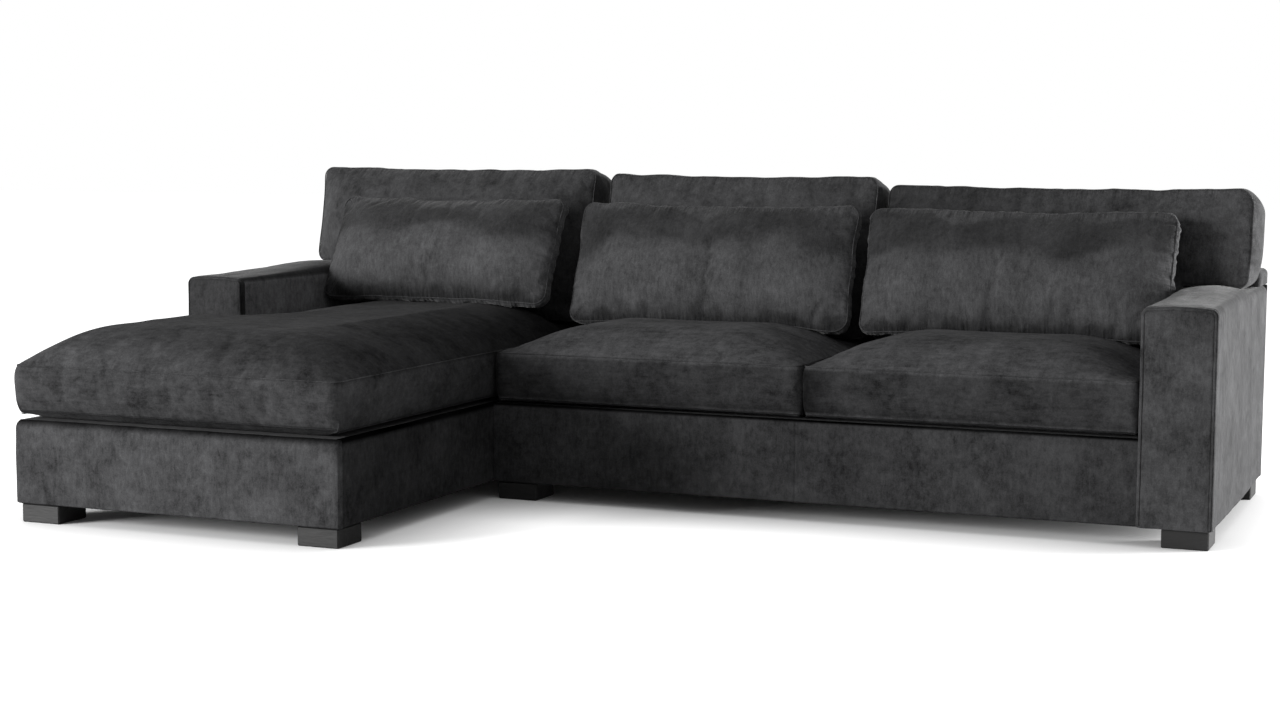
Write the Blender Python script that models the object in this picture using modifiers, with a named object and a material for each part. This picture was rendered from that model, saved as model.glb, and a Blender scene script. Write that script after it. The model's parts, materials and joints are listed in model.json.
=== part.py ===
"""Two-module sofa with a chaise on its left-hand end, in metres, +Z up.

The front faces -Y. The origin lies on the floor under the middle of the sofa's bounding box.
Each module has a wooden seat frame on block feet, webbing, a felt deck, padded borders,
an upholstered arm and a raked back. Nine loose cushions lie on the two modules.
"""

import math

import bmesh
import bpy
from mathutils import Vector
from mathutils.bvhtree import BVHTree

# Driving dimensions
OVERALL_WIDTH = 2.997
CHAISE_DEPTH = 1.880
LOVESEAT_DEPTH = 1.030
LEFT_ARM_DEPTH = 1.076
CHAISE_WIDTH = 0.991
ARM_WIDTH = 0.190
ARM_HEIGHT = 0.608
BACK_RAKE = math.radians(13)

# How many straight pieces stand in for a round
CORNER_STEPS = 4
CROWN_STEPS = 6
ROLL_STEPS = 3
HOLE_SIDES = 12

# Clearances between solids that rest on each other, and between a cushion and what it lies on
FIT = 0.0003
SOFT_FIT = 0.0007
SAMPLE_STEP = 0.012
OVERRUN = 0.010

# Feet
FOOT_HEIGHT = 0.050
FOOT_SIDE = 0.119
FOOT_SIDE_INSET = 0.010
FOOT_FRONT_INSET = 0.012
FOOT_REAR_INSET = 0.030
FOOT_EDGE = 0.003

# Seat base: padded borders around wooden rails
BORDER_HEIGHT = 0.2255
BORDER_THICKNESS = 0.020
BORDER_EDGE = 0.016
LOVESEAT_FRONT_RECESS = 0.011
RAIL_THICKNESS = 0.025
RAIL_EDGE = 0.002
DUST_CLOTH = 0.0015
DECK_THICKNESS = 0.038

# Elastic webbing: seat belts and back belts
BELT_WIDTH = 0.070
BELT_GAP = 0.075
BELT_THICKNESS = 0.0015

# Arms
ARM_PAD = 0.020
ARM_CROWN = 0.006
ARM_CORNER = 0.020
ARM_BOARD = 0.018

# Backs
BACK_DEPTH = 0.170
BACK_PAD = 0.025
BACK_PANEL = 0.008
BACK_TOP_RAIL = 0.025
ROLL_RISE = 0.054
ROLL_EDGE = 0.014

# Steel bar that holds the two modules together from below
BAR_LENGTH = 0.160
BAR_WIDTH = 0.040
BAR_THICKNESS = 0.004
BAR_HOLE = 0.003
BAR_HOLE_EDGE = 0.014
BAR_HOLE_STEP = 0.030

# Seat cushions
SEAT_BOXING = 0.145
SEAT_CROWN = 0.086
CHAISE_CROWN = 0.125
SEAT_REACH = 0.240
SEAT_SIDE_GAP = 0.004
SEAT_SPLIT_SHARE = 0.5063
SEAT_DRAW = 0.007
SEAT_BULGE = 0.006
PRESSED_SHARE = 0.50
PRESSED_LENGTH = 0.190
PRESSED_BLEND = 0.070

# Back cushions
BACK_CUSHION_BOXING = 0.155
BACK_CUSHION_CROWNS = {"chaise": 0.092, "middle": 0.055, "right": 0.055}
BACK_CUSHION_REAR_CROWN = 0.012
BACK_CUSHION_REACH = 0.170
BACK_CUSHION_HEIGHTS = {"chaise": 0.446, "middle": 0.454, "right": 0.430}
BACK_CUSHION_GAP = 0.010
BACK_CUSHION_DRAW = 0.010
BACK_CUSHION_BULGE = 0.006
EAR_INSET = 0.008
EAR_LIFT = 0.0115

# Lumbar cushions
LUMBAR_BOXING = 0.030
LUMBAR_CROWNS = {"chaise": 0.086, "middle": 0.074, "right": 0.074}
LUMBAR_HEIGHTS = {"chaise": 0.352, "middle": 0.378, "right": 0.376}
LUMBAR_MARGINS = {"chaise": 0.033, "middle": 0.044, "right": 0.021}
LUMBAR_RAKES = {"chaise": math.radians(27), "middle": math.radians(19), "right": math.radians(19)}
LUMBAR_REACH = 0.165
LUMBAR_DRAW = 0.014
LUMBAR_BULGE = 0.004
LUMBAR_END_GAP = 0.004
LUMBAR_ROUNDS = 6

# How sharp a cushion's seams stay in the smoothed form, from 0 to 1
SEAM_CREASE = 0.75

# Cage lines of the cushions, as shares of each straight stretch between corners
LONG_SHARES = (0.07, 0.22, 0.50, 0.78, 0.93, 1.0)
DEEP_SHARES = (0.08, 0.26, 0.50, 0.74, 0.92, 1.0)
FRONT_STRETCH_SHARES = (0.08, 0.26, 0.52, 0.78, 1.0)
REAR_STRETCH_SHARES = (0.18, 0.45, 0.72, 0.92, 1.0)
EAR_SHARES = (0.30, 1.0)
HEIGHT_SHARES = (0.10, 0.32, 0.66, 0.90, 1.0)
LOWER_SHARES = (0.30, 1.0)
UPPER_SHARES = (0.30, 0.62, 0.88, 1.0)
LUMBAR_SHARES = (0.15, 0.50, 0.85, 1.0)

# Planes that the pieces share
LEFT = -OVERALL_WIDTH / 2
RIGHT = OVERALL_WIDTH / 2
BACK = CHAISE_DEPTH / 2
CHAISE_FRONT = -CHAISE_DEPTH / 2
ARM_FRONT = BACK - LOVESEAT_DEPTH
LEFT_ARM_FRONT = BACK - LEFT_ARM_DEPTH
LOVESEAT_FRONT = ARM_FRONT + LOVESEAT_FRONT_RECESS
SPLIT = LEFT + CHAISE_WIDTH
LEFT_ARM_INNER = LEFT + ARM_WIDTH
RIGHT_ARM_INNER = RIGHT - ARM_WIDTH

BASE_BOTTOM = FOOT_HEIGHT + FIT
BASE_TOP = FOOT_HEIGHT + BORDER_HEIGHT
DECK_BOTTOM = BASE_TOP - DECK_THICKNESS
BELT_TOP = DECK_BOTTOM - FIT
RAIL_TOP = BELT_TOP - BELT_THICKNESS - FIT
RAIL_BOTTOM = BASE_BOTTOM + DUST_CLOTH + FIT

ARM_INSIDE_TOP = ARM_HEIGHT - ARM_PAD
BACK_HEIGHT = ARM_HEIGHT + ROLL_RISE

REAR_INSIDE = BACK - BACK_PANEL - FIT
ROLL_BOTTOM = ARM_HEIGHT + ARM_CROWN + FIT
TOP_RAIL_TOP = ROLL_BOTTOM - FIT
POST_TOP = TOP_RAIL_TOP - BACK_TOP_RAIL - FIT


def pad_front(height):
    """Y of the raked face that the back cushions lean on, at a height."""
    return BACK - BACK_DEPTH - (BACK_HEIGHT - height) * math.tan(BACK_RAKE)


def behind_pad_front(height, thickness):
    """Y of a plane that lies a thickness behind that raked face, at a height."""
    return pad_front(height) + thickness / math.cos(BACK_RAKE)


WEB_OFFSET = BACK_PAD + FIT
POST_OFFSET = WEB_OFFSET + BELT_THICKNESS + FIT
POST_FOOT = behind_pad_front(BASE_TOP, POST_OFFSET)
SEAT_RAIL_BACK = POST_FOOT - FIT

# Colours as linear values, with roughness and metallic
FINISHES = {
    "velvet": ((0.028, 0.028, 0.030), 0.85, 0.0),
    "deck_felt": ((0.045, 0.045, 0.047), 0.95, 0.0),
    "dust_cloth": ((0.010, 0.010, 0.010), 0.95, 0.0),
    "webbing": ((0.060, 0.058, 0.052), 0.85, 0.0),
    "frame_wood": ((0.520, 0.360, 0.200), 0.60, 0.0),
    "plywood": ((0.600, 0.450, 0.280), 0.60, 0.0),
    "foot_wood": ((0.012, 0.011, 0.011), 0.45, 0.0),
    "bar_steel": ((0.420, 0.420, 0.430), 0.35, 0.9),
}


def clear_scene():
    for old in list(bpy.data.objects):
        bpy.data.objects.remove(old, do_unlink=True)


def new_collection(name):
    collection = bpy.data.collections.new(name)
    bpy.context.scene.collection.children.link(collection)
    return collection


def make_finish(name):
    colour, roughness, metallic = FINISHES[name]
    finish = bpy.data.materials.new(name)
    finish.use_nodes = True
    shader = finish.node_tree.nodes["Principled BSDF"]
    shader.inputs["Base Color"].default_value = (*colour, 1)
    shader.inputs["Roughness"].default_value = roughness
    shader.inputs["Metallic"].default_value = metallic
    finish.diffuse_color = (*colour, 1)
    return finish


clear_scene()
sofa = new_collection("sofa_with_chaise")
cutters = new_collection("cutters")
cutters.hide_render = True
finishes = {name: make_finish(name) for name in FINISHES}


def module_empty(name):
    """An empty that carries every piece of one module, so that a module can be moved as one."""
    empty = bpy.data.objects.new(name, None)
    sofa.objects.link(empty)
    return empty


chaise_module = module_empty("chaise_module")
loveseat_module = module_empty("loveseat_module")


def add_piece(name, data, finish, parent, location=(0, 0, 0), turn=(0, 0, 0)):
    piece = bpy.data.objects.new(name, data)
    data.materials.append(finishes[finish])
    piece.location = location
    piece.rotation_euler = turn
    piece.parent = parent
    sofa.objects.link(piece)
    return piece


def cube_mesh(name, size):
    """A unit cube's mesh, scaled to its size in the mesh itself."""
    mesh = bpy.data.meshes.new(name)
    shape = bmesh.new()
    bmesh.ops.create_cube(shape, size=1)
    bmesh.ops.scale(shape, verts=shape.verts, vec=size)
    shape.to_mesh(mesh)
    shape.free()
    return mesh


def box(name, low, high, finish, parent, edge=0, segments=1):
    """A block between two corners, with its edges eased by a Bevel modifier."""
    size = Vector(high) - Vector(low)
    centre = (Vector(high) + Vector(low)) / 2
    piece = add_piece(name, cube_mesh(name, size), finish, parent, centre)
    if edge:
        easing = piece.modifiers.new("eased edges", "BEVEL")
        easing.width = min(edge, min(size) / 2 - FIT)
        easing.segments = segments
        easing.limit_method = "ANGLE"
    return piece


def arc(centre, radius, start, end, steps):
    """Points on a round corner, from one angle to the other."""
    turns = [start + (end - start) * step / steps for step in range(steps + 1)]
    return [(centre[0] + radius * math.cos(t), centre[1] + radius * math.sin(t)) for t in turns]


ALONG_X = (math.pi / 2, 0, math.pi / 2)
ALONG_Y = (math.pi / 2, 0, 0)
ALONG_Z = (0, 0, 0)


def extrusion(name, points, start, end, turn, finish, parent):
    """A flat outline, filled and extruded between two places along X, Y or Z."""
    outline = bpy.data.curves.new(name, "CURVE")
    outline.dimensions = "2D"
    outline.fill_mode = "BOTH"
    outline.extrude = abs(end - start) / 2
    spline = outline.splines.new("POLY")
    spline.points.add(len(points) - 1)
    for place, point in zip(spline.points, points):
        place.co = (*point, 0, 1)
    spline.use_cyclic_u = True
    middle = (start + end) / 2
    location = {ALONG_X: (middle, 0, 0), ALONG_Y: (0, middle, 0), ALONG_Z: (0, 0, middle)}[turn]
    return add_piece(name, outline, finish, parent, location, turn)


# Webbing

def belt_lines(start, end):
    """Edges of evenly spread belts between two places: belt, gap, belt and so on."""
    gaps = max(1, round((end - start - BELT_WIDTH) / (BELT_WIDTH + BELT_GAP)))
    step = (end - start - BELT_WIDTH) / gaps
    lines = []
    for belt in range(gaps + 1):
        lines += [start + belt * step, start + belt * step + BELT_WIDTH]
    return lines


def webbing(name, low, high, parent, location=(0, 0, 0), turn=(0, 0, 0)):
    """Crossing belts as one sheet with open squares between them, thickened by Solidify."""
    across = belt_lines(low[0], high[0])
    along = belt_lines(low[1], high[1])
    mesh = bpy.data.meshes.new(name)
    shape = bmesh.new()
    corner = {}
    for column, x in enumerate(across):
        for row, y in enumerate(along):
            corner[column, row] = shape.verts.new((x, y, 0))
    for column in range(len(across) - 1):
        for row in range(len(along) - 1):
            if column % 2 and row % 2:
                continue
            ring = ((column, row), (column + 1, row), (column + 1, row + 1), (column, row + 1))
            shape.faces.new([corner[key] for key in ring])
    shape.to_mesh(mesh)
    shape.free()
    piece = add_piece(name, mesh, "webbing", parent, location, turn)
    wall = piece.modifiers.new("belt thickness", "SOLIDIFY")
    wall.thickness = BELT_THICKNESS
    wall.offset = 1
    return piece


# Seat bases

def rail(name, low, high, parent):
    return box(name, low, high, "frame_wood", parent, RAIL_EDGE)


def chaise_rails():
    left = LEFT + BORDER_THICKNESS + FIT
    right = SPLIT - BORDER_THICKNESS - FIT
    front = CHAISE_FRONT + BORDER_THICKNESS + FIT
    front_back = front + RAIL_THICKNESS
    left_inner = left + RAIL_THICKNESS
    right_inner = right - RAIL_THICKNESS
    seat_rail_front = SEAT_RAIL_BACK - RAIL_THICKNESS
    cross = LEFT_ARM_FRONT + ARM_PAD + FIT
    rail("chaise_front_rail", (left, front, RAIL_BOTTOM), (right, front_back, RAIL_TOP), chaise_module)
    rail(
        "chaise_left_rail",
        (left, front_back + FIT, RAIL_BOTTOM),
        (left_inner, REAR_INSIDE, RAIL_TOP),
        chaise_module,
    )
    rail(
        "chaise_right_rail",
        (right_inner, front_back + FIT, RAIL_BOTTOM),
        (right, seat_rail_front - FIT, RAIL_TOP),
        chaise_module,
    )
    rail(
        "chaise_seat_rail",
        (left_inner + FIT, seat_rail_front, RAIL_BOTTOM),
        (right, SEAT_RAIL_BACK, RAIL_TOP),
        chaise_module,
    )
    rail(
        "chaise_cross_rail",
        (left_inner + FIT, cross, RAIL_BOTTOM),
        (right_inner - FIT, cross + RAIL_THICKNESS, RAIL_TOP),
        chaise_module,
    )
    webbing(
        "chaise_seat_webbing",
        (left, front),
        (right, SEAT_RAIL_BACK),
        chaise_module,
        (0, 0, RAIL_TOP + FIT),
    )
    box(
        "chaise_dust_cover",
        (left, front, BASE_BOTTOM),
        (right, REAR_INSIDE, BASE_BOTTOM + DUST_CLOTH),
        "dust_cloth",
        chaise_module,
    )


def loveseat_rails():
    left = SPLIT + FIT
    right = RIGHT - BORDER_THICKNESS - FIT
    front = LOVESEAT_FRONT + BORDER_THICKNESS + FIT
    front_back = front + RAIL_THICKNESS
    left_inner = left + RAIL_THICKNESS
    right_inner = right - RAIL_THICKNESS
    seat_rail_front = SEAT_RAIL_BACK - RAIL_THICKNESS
    middle = (left + right) / 2
    rail("loveseat_front_rail", (left, front, RAIL_BOTTOM), (right, front_back, RAIL_TOP), loveseat_module)
    rail(
        "loveseat_left_rail",
        (left, front_back + FIT, RAIL_BOTTOM),
        (left_inner, seat_rail_front - FIT, RAIL_TOP),
        loveseat_module,
    )
    rail(
        "loveseat_right_rail",
        (right_inner, front_back + FIT, RAIL_BOTTOM),
        (right, REAR_INSIDE, RAIL_TOP),
        loveseat_module,
    )
    rail(
        "loveseat_seat_rail",
        (left, seat_rail_front, RAIL_BOTTOM),
        (right_inner - FIT, SEAT_RAIL_BACK, RAIL_TOP),
        loveseat_module,
    )
    rail(
        "loveseat_cross_rail",
        (middle, front_back + FIT, RAIL_BOTTOM),
        (middle + RAIL_THICKNESS, seat_rail_front - FIT, RAIL_TOP),
        loveseat_module,
    )
    webbing(
        "loveseat_seat_webbing",
        (left, front),
        (right, SEAT_RAIL_BACK),
        loveseat_module,
        (0, 0, RAIL_TOP + FIT),
    )
    box(
        "loveseat_dust_cover",
        (left, front, BASE_BOTTOM),
        (right, REAR_INSIDE, BASE_BOTTOM + DUST_CLOTH),
        "dust_cloth",
        loveseat_module,
    )


def rounded_border(inside, outside, side):
    """A border's section: upright, with its top outer edge rounded. Side is the outward direction."""
    corner = (outside - side * BORDER_EDGE, BASE_TOP - BORDER_EDGE)
    start = 0 if side > 0 else math.pi
    return [
        (inside, BASE_BOTTOM),
        (outside, BASE_BOTTOM),
        *arc(corner, BORDER_EDGE, start, math.pi / 2, CORNER_STEPS),
        (inside, BASE_TOP),
    ]


def borders():
    extrusion(
        "chaise_front_border",
        rounded_border(CHAISE_FRONT + BORDER_THICKNESS, CHAISE_FRONT, -1),
        LEFT,
        SPLIT,
        ALONG_X,
        "velvet",
        chaise_module,
    )
    extrusion(
        "chaise_right_border",
        rounded_border(SPLIT - BORDER_THICKNESS, SPLIT, 1),
        CHAISE_FRONT + BORDER_THICKNESS + FIT,
        REAR_INSIDE,
        ALONG_Y,
        "velvet",
        chaise_module,
    )
    extrusion(
        "chaise_left_border",
        rounded_border(LEFT + BORDER_THICKNESS, LEFT, -1),
        CHAISE_FRONT + BORDER_THICKNESS + FIT,
        LEFT_ARM_FRONT + ARM_PAD,
        ALONG_Y,
        "velvet",
        chaise_module,
    )
    extrusion(
        "loveseat_front_border",
        rounded_border(LOVESEAT_FRONT + BORDER_THICKNESS, LOVESEAT_FRONT, -1),
        SPLIT + FIT,
        RIGHT_ARM_INNER - FIT,
        ALONG_X,
        "velvet",
        loveseat_module,
    )


def decks():
    """Felt-covered foam on the webbing, cut round the arm on the chaise."""
    left = LEFT + BORDER_THICKNESS + FIT
    right = SPLIT - BORDER_THICKNESS - FIT
    front = CHAISE_FRONT + BORDER_THICKNESS + FIT
    rear = POST_FOOT - FIT
    notch = LEFT_ARM_FRONT + ARM_PAD
    outline = [
        (left, front),
        (right, front),
        (right, rear),
        (LEFT_ARM_INNER + FIT, rear),
        (LEFT_ARM_INNER + FIT, notch),
        (left, notch),
    ]
    extrusion("chaise_deck", outline, DECK_BOTTOM, BASE_TOP, ALONG_Z, "deck_felt", chaise_module)
    box(
        "loveseat_deck",
        (SPLIT + FIT, LOVESEAT_FRONT + BORDER_THICKNESS + FIT, DECK_BOTTOM),
        (RIGHT_ARM_INNER - FIT, rear, BASE_TOP),
        "deck_felt",
        loveseat_module,
    )


# Feet

def foot(name, x, y, parent):
    """A square block whose lower left corner is given, seen from above."""
    return box(
        name,
        (x, y, 0),
        (x + FOOT_SIDE, y + FOOT_SIDE, FOOT_HEIGHT),
        "foot_wood",
        parent,
        FOOT_EDGE,
    )


def feet():
    rear = BACK - FOOT_REAR_INSET - FOOT_SIDE
    modules = (
        ("chaise", chaise_module, LEFT, SPLIT, CHAISE_FRONT),
        ("loveseat", loveseat_module, SPLIT, RIGHT, LOVESEAT_FRONT),
    )
    for module, parent, left, right, front in modules:
        columns = (("left", left + FOOT_SIDE_INSET), ("right", right - FOOT_SIDE_INSET - FOOT_SIDE))
        for side, x in columns:
            foot(f"{module}_front_{side}_foot", x, front + FOOT_FRONT_INSET, parent)
            foot(f"{module}_rear_{side}_foot", x, rear, parent)


# Arms

def arm_top(outer, inward):
    """The arm's rounded and crowned top line, from its outer corner to its inner one."""
    low = ARM_HEIGHT - ARM_CORNER
    far = outer + inward * ARM_WIDTH
    outside, inside_turn = (math.pi, 0) if inward > 0 else (0, math.pi)
    upright_turn = math.pi / 2
    first = arc((outer + inward * ARM_CORNER, low), ARM_CORNER, outside, upright_turn, CORNER_STEPS)
    last = arc((far - inward * ARM_CORNER, low), ARM_CORNER, upright_turn, inside_turn, CORNER_STEPS)
    level = far - outer - 2 * inward * ARM_CORNER
    crown = []
    for step in range(1, CROWN_STEPS):
        share = step / CROWN_STEPS
        height = ARM_HEIGHT + ARM_CROWN * math.sin(math.pi * share)
        crown.append((outer + inward * ARM_CORNER + level * share, height))
    return [*first, *crown, *last]


def arm(side, parent, front, outer, inward, panel_bottom, inner_bottom):
    """Side board, top board, the padded wrap over them and the padded front panel."""
    panel_back = front + ARM_PAD
    body_front = panel_back + FIT
    far = outer + inward * ARM_WIDTH
    inside_outer = outer + inward * ARM_PAD
    inside_far = far - inward * ARM_PAD
    wrap = [
        (outer, BASE_BOTTOM),
        *arm_top(outer, inward),
        (far, inner_bottom),
        (inside_far, inner_bottom),
        (inside_far, ARM_INSIDE_TOP),
        (inside_outer, ARM_INSIDE_TOP),
        (inside_outer, BASE_BOTTOM),
    ]
    extrusion(f"{side}_arm_wrap", wrap, body_front, REAR_INSIDE, ALONG_Y, "velvet", parent)
    panel = [(outer, panel_bottom), *arm_top(outer, inward), (far, panel_bottom)]
    extrusion(f"{side}_arm_front_panel", panel, front, panel_back, ALONG_Y, "velvet", parent)
    board_top = ARM_INSIDE_TOP - FIT
    top_low = sorted((inside_outer + inward * FIT, inside_far - inward * FIT))
    box(
        f"{side}_arm_top_board",
        (top_low[0], body_front, board_top - ARM_BOARD),
        (top_low[1], REAR_INSIDE, board_top),
        "plywood",
        parent,
        RAIL_EDGE,
    )
    side_low = sorted((inside_outer + inward * FIT, inside_outer + inward * (FIT + ARM_BOARD)))
    box(
        f"{side}_arm_side_board",
        (side_low[0], body_front, BELT_TOP + FIT),
        (side_low[1], REAR_INSIDE, board_top - ARM_BOARD - FIT),
        "plywood",
        parent,
        RAIL_EDGE,
    )


def arms():
    inner_bottom = BELT_TOP + FIT
    arm("left", chaise_module, LEFT_ARM_FRONT, LEFT, 1, BASE_TOP + FIT, inner_bottom)
    arm("right", loveseat_module, ARM_FRONT, RIGHT, -1, BASE_BOTTOM, inner_bottom)


# Backs

def post(name, x, parent):
    """A board cut to the back's rake, from the bottom of the frame to the top rail."""
    outline = [
        (POST_FOOT, RAIL_BOTTOM),
        (REAR_INSIDE, RAIL_BOTTOM),
        (REAR_INSIDE, POST_TOP),
        (behind_pad_front(POST_TOP, POST_OFFSET), POST_TOP),
        (POST_FOOT, BASE_TOP),
    ]
    return extrusion(name, outline, x, x + RAIL_THICKNESS, ALONG_X, "frame_wood", parent)


def back(module, parent, left, right, pad_left, pad_right, post_left, post_right):
    """Two posts, a top rail, belts, the raked pad, the top roll and the outer panel."""
    post(f"{module}_back_left_post", post_left, parent)
    post(f"{module}_back_right_post", post_right - RAIL_THICKNESS, parent)
    top_front = behind_pad_front(TOP_RAIL_TOP, POST_OFFSET)
    box(
        f"{module}_back_top_rail",
        (post_left, top_front, POST_TOP + FIT),
        (post_right, REAR_INSIDE, TOP_RAIL_TOP),
        "frame_wood",
        parent,
        RAIL_EDGE,
    )
    pad_bottom = BASE_TOP + FIT
    length = (POST_TOP - pad_bottom) / math.cos(BACK_RAKE)
    webbing(
        f"{module}_back_webbing",
        (post_left, FIT),
        (post_right, length),
        parent,
        (0, behind_pad_front(pad_bottom, WEB_OFFSET + BELT_THICKNESS), pad_bottom),
        (math.pi / 2 - BACK_RAKE, 0, 0),
    )
    outline = [
        (pad_front(pad_bottom), pad_bottom),
        (behind_pad_front(pad_bottom, BACK_PAD), pad_bottom),
        (behind_pad_front(TOP_RAIL_TOP, BACK_PAD), TOP_RAIL_TOP),
        (pad_front(TOP_RAIL_TOP), TOP_RAIL_TOP),
    ]
    extrusion(f"{module}_back_pad", outline, pad_left, pad_right, ALONG_X, "velvet", parent)
    box(
        f"{module}_back_top_roll",
        (left, BACK - BACK_DEPTH, ROLL_BOTTOM),
        (right, BACK, BACK_HEIGHT),
        "velvet",
        parent,
        ROLL_EDGE,
        ROLL_STEPS,
    )
    box(
        f"{module}_back_panel",
        (left, BACK - BACK_PANEL, BASE_BOTTOM),
        (right, BACK, TOP_RAIL_TOP),
        "velvet",
        parent,
    )


def backs():
    chaise_inside = LEFT_ARM_INNER + FIT
    chaise_joint = SPLIT - BORDER_THICKNESS - FIT
    loveseat_joint = SPLIT + FIT
    loveseat_inside = RIGHT_ARM_INNER - FIT
    back("chaise", chaise_module, LEFT, SPLIT, chaise_inside, SPLIT, chaise_inside, chaise_joint)
    back(
        "loveseat",
        loveseat_module,
        SPLIT + FIT,
        RIGHT,
        loveseat_joint,
        loveseat_inside,
        loveseat_joint,
        loveseat_inside,
    )


# Joining bar

def joining_bar():
    """A flat steel bar under the two rails that meet, with four screw holes."""
    middle = (LOVESEAT_FRONT + SEAT_RAIL_BACK) / 2
    bar = box(
        "module_joining_bar",
        (SPLIT - BAR_LENGTH / 2, middle - BAR_WIDTH / 2, FOOT_HEIGHT - BAR_THICKNESS),
        (SPLIT + BAR_LENGTH / 2, middle + BAR_WIDTH / 2, FOOT_HEIGHT),
        "bar_steel",
        loveseat_module,
    )
    ends = (BAR_LENGTH / 2 - BAR_HOLE_EDGE, BAR_LENGTH / 2 - BAR_HOLE_EDGE - BAR_HOLE_STEP)
    for number, reach in enumerate((-ends[0], -ends[1], ends[1], ends[0])):
        mesh = bpy.data.meshes.new(f"screw_hole_{number}")
        shape = bmesh.new()
        bmesh.ops.create_cone(
            shape,
            cap_ends=True,
            segments=HOLE_SIDES,
            radius1=BAR_HOLE,
            radius2=BAR_HOLE,
            depth=BAR_THICKNESS + 2 * OVERRUN,
        )
        shape.to_mesh(mesh)
        shape.free()
        hole = bpy.data.objects.new(f"screw_hole_{number}", mesh)
        hole.location = (SPLIT + reach, middle, FOOT_HEIGHT - BAR_THICKNESS / 2)
        hole.display_type = "WIRE"
        hole.hide_render = True
        cutters.objects.link(hole)
        cut = bar.modifiers.new(f"screw hole {number}", "BOOLEAN")
        cut.operation = "DIFFERENCE"
        cut.solver = "EXACT"
        cut.object = hole


# Cushions

def stretch_lines(start, stretches):
    """Cage lines along one direction: each stretch has an end and its own shares."""
    lines = [start]
    for end, shares in stretches:
        begin = lines[-1]
        lines += [begin + (end - begin) * share for share in shares]
    return lines


def segment_distance(point, first, second):
    line = second - first
    share = max(0, min(1, (point - first).dot(line) / line.length_squared))
    return (first + line * share - point).length


def inside(point, corners):
    """Whether a point lies inside a polygon, by counting the sides to its right."""
    found = False
    for first, second in zip(corners, corners[1:] + corners[:1]):
        if (first.y > point.y) == (second.y > point.y):
            continue
        crossing = first.x + (point.y - first.y) * (second.x - first.x) / (second.y - first.y)
        found ^= crossing > point.x
    return found


def puff(point, corners, reach):
    """How full the cushion is at a point, from 0 on its seam to 1 far inside."""
    fullness = 1
    for first, second in zip(corners, corners[1:] + corners[:1]):
        near = min(1, segment_distance(point, first, second) / reach)
        fullness *= 1 - (1 - near) ** 2
    return fullness


def side_offsets(point, corners, draw, bulge, lean):
    """How far a point on the outline is drawn in at the seams, swells between them, and drops.

    The first two are fullest halfway between two corners and nothing at a corner. The last lowers
    the front of an underside, so that it is level on a cushion that leans back. None is off the outline."""
    seam = Vector((0, 0))
    swell = Vector((0, 0))
    drop = Vector((0, 0))
    on_outline = False
    for first, second in zip(corners, corners[1:] + corners[:1]):
        if segment_distance(point, first, second) > FIT:
            continue
        line = second - first
        share = (point - first).dot(line) / line.length_squared
        away = Vector((line.y, -line.x)).normalized() * 4 * share * (1 - share)
        seam -= away * draw
        swell += away * bulge
        if line.x > abs(line.y):
            drop = Vector((0, -math.tan(lean)))
        on_outline = True
    return (seam, swell, drop) if on_outline else None


def reflex_corners(corners):
    """The corners where the outline turns inwards."""
    found = []
    for before, here, after in zip(corners[-1:] + corners[:-1], corners, corners[1:] + corners[:1]):
        first, second = here - before, after - here
        if first.x * second.y - first.y * second.x < 0:
            found.append(here)
    return found


def cushion_cage(name, corners, across, along, boxing, front_crown, rear_crown, draw, bulge, lean=0):
    """The coarse cage of a boxed cushion: a crowned face, a flat or crowned back and a boxing between.

    Corners go round anticlockwise. front_crown and rear_crown give a height at each cage point.
    Lean is the angle at which the cushion will stand, or zero where it lies flat."""
    corners = [Vector(corner) for corner in corners]
    mesh = bpy.data.meshes.new(name)
    shape = bmesh.new()
    seam_crease = shape.edges.layers.float.new("crease_edge")
    sharp = reflex_corners(corners)
    front, rear, middle, faces = {}, {}, {}, []
    for column in range(len(across) - 1):
        for row in range(len(along) - 1):
            centre = Vector((across[column] + across[column + 1], along[row] + along[row + 1])) / 2
            if inside(centre, corners):
                ring = ((column, row), (column + 1, row), (column + 1, row + 1), (column, row + 1))
                faces.append(ring)
    for key in sorted({key for ring in faces for key in ring}):
        point = Vector((across[key[0]], along[key[1]]))
        offsets = side_offsets(point, corners, draw, bulge, lean)
        if not offsets:
            front[key] = shape.verts.new((*point, boxing + front_crown(point)))
            rear[key] = shape.verts.new((*point, -rear_crown(point)))
            continue
        seam, swell, drop = offsets
        front[key] = shape.verts.new((*(point + seam + drop * boxing), boxing))
        rear[key] = shape.verts.new((*(point + seam), 0))
        middle[key] = shape.verts.new((*(point + seam + swell + drop * boxing / 2), boxing / 2))
    sides = set()
    for ring in faces:
        shape.faces.new([front[key] for key in ring])
        shape.faces.new([rear[key] for key in reversed(ring)])
        for pair in zip(ring, ring[1:] + ring[:1]):
            sides.add(pair)
    for first, second in sorted(sides):
        if (second, first) in sides:
            continue
        shape.faces.new([front[second], front[first], middle[first], middle[second]])
        shape.faces.new([middle[second], middle[first], rear[first], rear[second]])
        for level in (front, rear):
            shape.edges.get((level[first], level[second]))[seam_crease] = SEAM_CREASE
    for key in middle:
        here = Vector((across[key[0]], along[key[1]]))
        if any((here - corner).length < FIT for corner in sharp):
            shape.edges.get((front[key], middle[key]))[seam_crease] = 1
            shape.edges.get((middle[key], rear[key]))[seam_crease] = 1
            for level in (front, rear):
                for edge in level[key].link_edges:
                    if edge[seam_crease]:
                        edge[seam_crease] = 1
    shape.to_mesh(mesh)
    shape.free()
    mesh.shade_smooth()
    return mesh


def add_cushion(name, mesh, parent, location, turn):
    piece = add_piece(name, mesh, "velvet", parent, location, turn)
    smooth = piece.modifiers.new("soft form", "SUBSURF")
    smooth.levels = 1
    smooth.render_levels = 1
    return piece


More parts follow.
